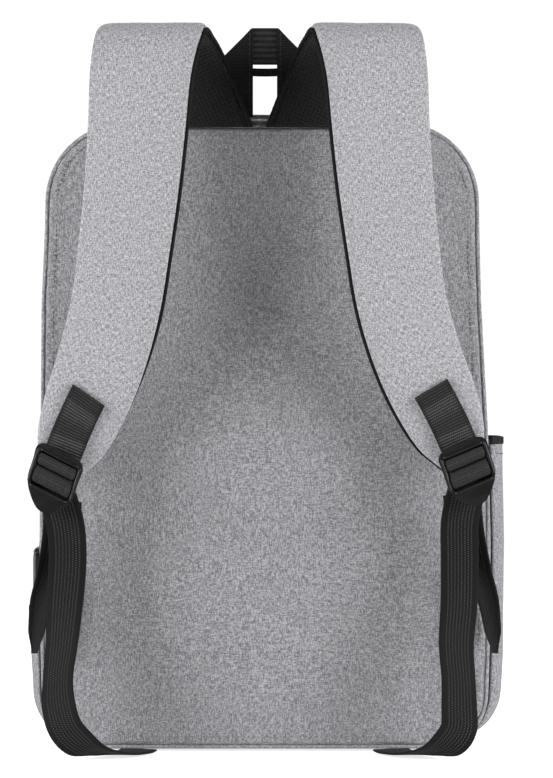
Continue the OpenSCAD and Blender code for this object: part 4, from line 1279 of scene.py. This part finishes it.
def make_inside():
    steps = [(100, -32.9), (3, -33.0), (0.6, -33.6), (0, -35), (0.3, -37), (1.4, -38.2), (4, -38.7), (20, -38.9),
             (60, -39.2), (100, -39.2)]
    sleeve = panel("laptop_sleeve_pad", steps, 126, 12, 300, 24, 24, "lining")
    put(sleeve, "bag", "dark_fabric", "laptop_sleeve")
    for side, sign in SIDES.items():
        line = np.array([(119.0 * sign + 1.5 * math.sin(z / 40), -46.2, z) for z in np.linspace(60, 270, 30)])
        gusset = swept(f"sleeve_gusset_{side}", line, BACK, ACROSS, strip_section(6.6, 3.0), "lining")
        put(gusset, "bag", "dark_fabric")
    line = [(x, -36.2, 300.2) for x in np.linspace(-103, 103, 40)]
    put(tube("sleeve_top_binding", line, 2.4, "binding", 12), "bag", "webbing")
    route = np.array([(-52.4, 378), (-52.4, 356), (-52.0, 338), (-49, 330.6), (-42, 329.3), (-36, 328.5), (-32.2, 324),
                      (-31.7, 312), (-31.7, 290), (-31.7, 262)])
    path = spline([(0, y, z) for y, z in route], 6)
    strap = swept("sleeve_closing_strap", path, ACROSS, np.cross(tangents(path), ACROSS), strip_section(19, 1.6, 12),
                  "rib")
    put(strap, "bag", "webbing", "sleeve_strap")
    steps = [(60, 46.0), (2, 45.9), (0.3, 45.5), (0, 45.0), (0.4, 44.6), (3, 44.3), (25, 43.6), (60, 43.4)]
    pocket = panel("lid_mesh_pocket_net", steps, 105, 76, 206, 8, 8, "mesh_pocket")
    put(pocket, "front_lid", "black_mesh", "lid_mesh_pocket")
    line = [(x, 44.9, 205.6) for x in np.linspace(-98, 98, 50)]
    put(tube("lid_mesh_pocket_hem", line, 2.2, "binding", 12), "front_lid", "webbing")
    for side, sign in SIDES.items():
        line = np.array([(103.0 * sign, 51.8, z) for z in np.linspace(84, 196, 24)])
        wall = swept(f"lid_mesh_pocket_side_{side}", line, BACK, ACROSS, strip_section(6.4, 1.2), "mesh_pocket")
        put(wall, "front_lid", "black_mesh")


def make_small_parts():
    steps = [(40, 2.3), (2, 2.3), (0.5, 2.1), (0, 1.5), (0.5, 0.4), (1.6, 0.05), (20, 0.0), (40, 0.0)]
    rings = []
    for inset, z in steps:
        ring = rounded_outline(125 - inset, -44 + inset, 48 - inset, max(14 - inset, 2), max(14 - inset, 2))
        rings.append(np.stack([ring[:, 0], ring[:, 1], np.full(len(ring), float(z))], 1))
    base = closed_form("base_cloth_patch", rings, "base")
    put(base, "bag", "base_cloth", "base_panel")
    dress("board", "base_board", bevel=0.5)
    dress("rubber", "usb_housing", bevel=0.7, segments=3)
    dress("steel", "usb_socket", bevel=0.15)
    dress("cap_rubber", "usb_cap", bevel=0.5, segments=3)
    dress("rubber", "lead_grommet", bevel=0.3)
    dress("plastic", "regulator_box", bevel=0.8, segments=3)
    dress("heather_trim_painted_light", "strap_yoke", bevel=0.35)
    dress("zip_metal", "left_zip_slider", "right_zip_slider", "pocket_slider", bevel=0.4, segments=3)
    dress("rubber", "left_zip_pull", "right_zip_pull", "pocket_pull", bevel=0.45, segments=3)


make_camera()
make_stage()
make_body()
make_back()
make_front_piping()
for side_name, side_sign in SIDES.items():
    make_strap(side_name, side_sign)
    make_tape(side_name, side_sign)
    make_lock(side_name, side_sign)
    make_webbing(side_name, side_sign)
make_handle()
make_side_pocket("right", 1, 207)
make_side_pocket("left", -1, 93)
make_front_pocket()
make_solar()
make_inside()
make_small_parts()
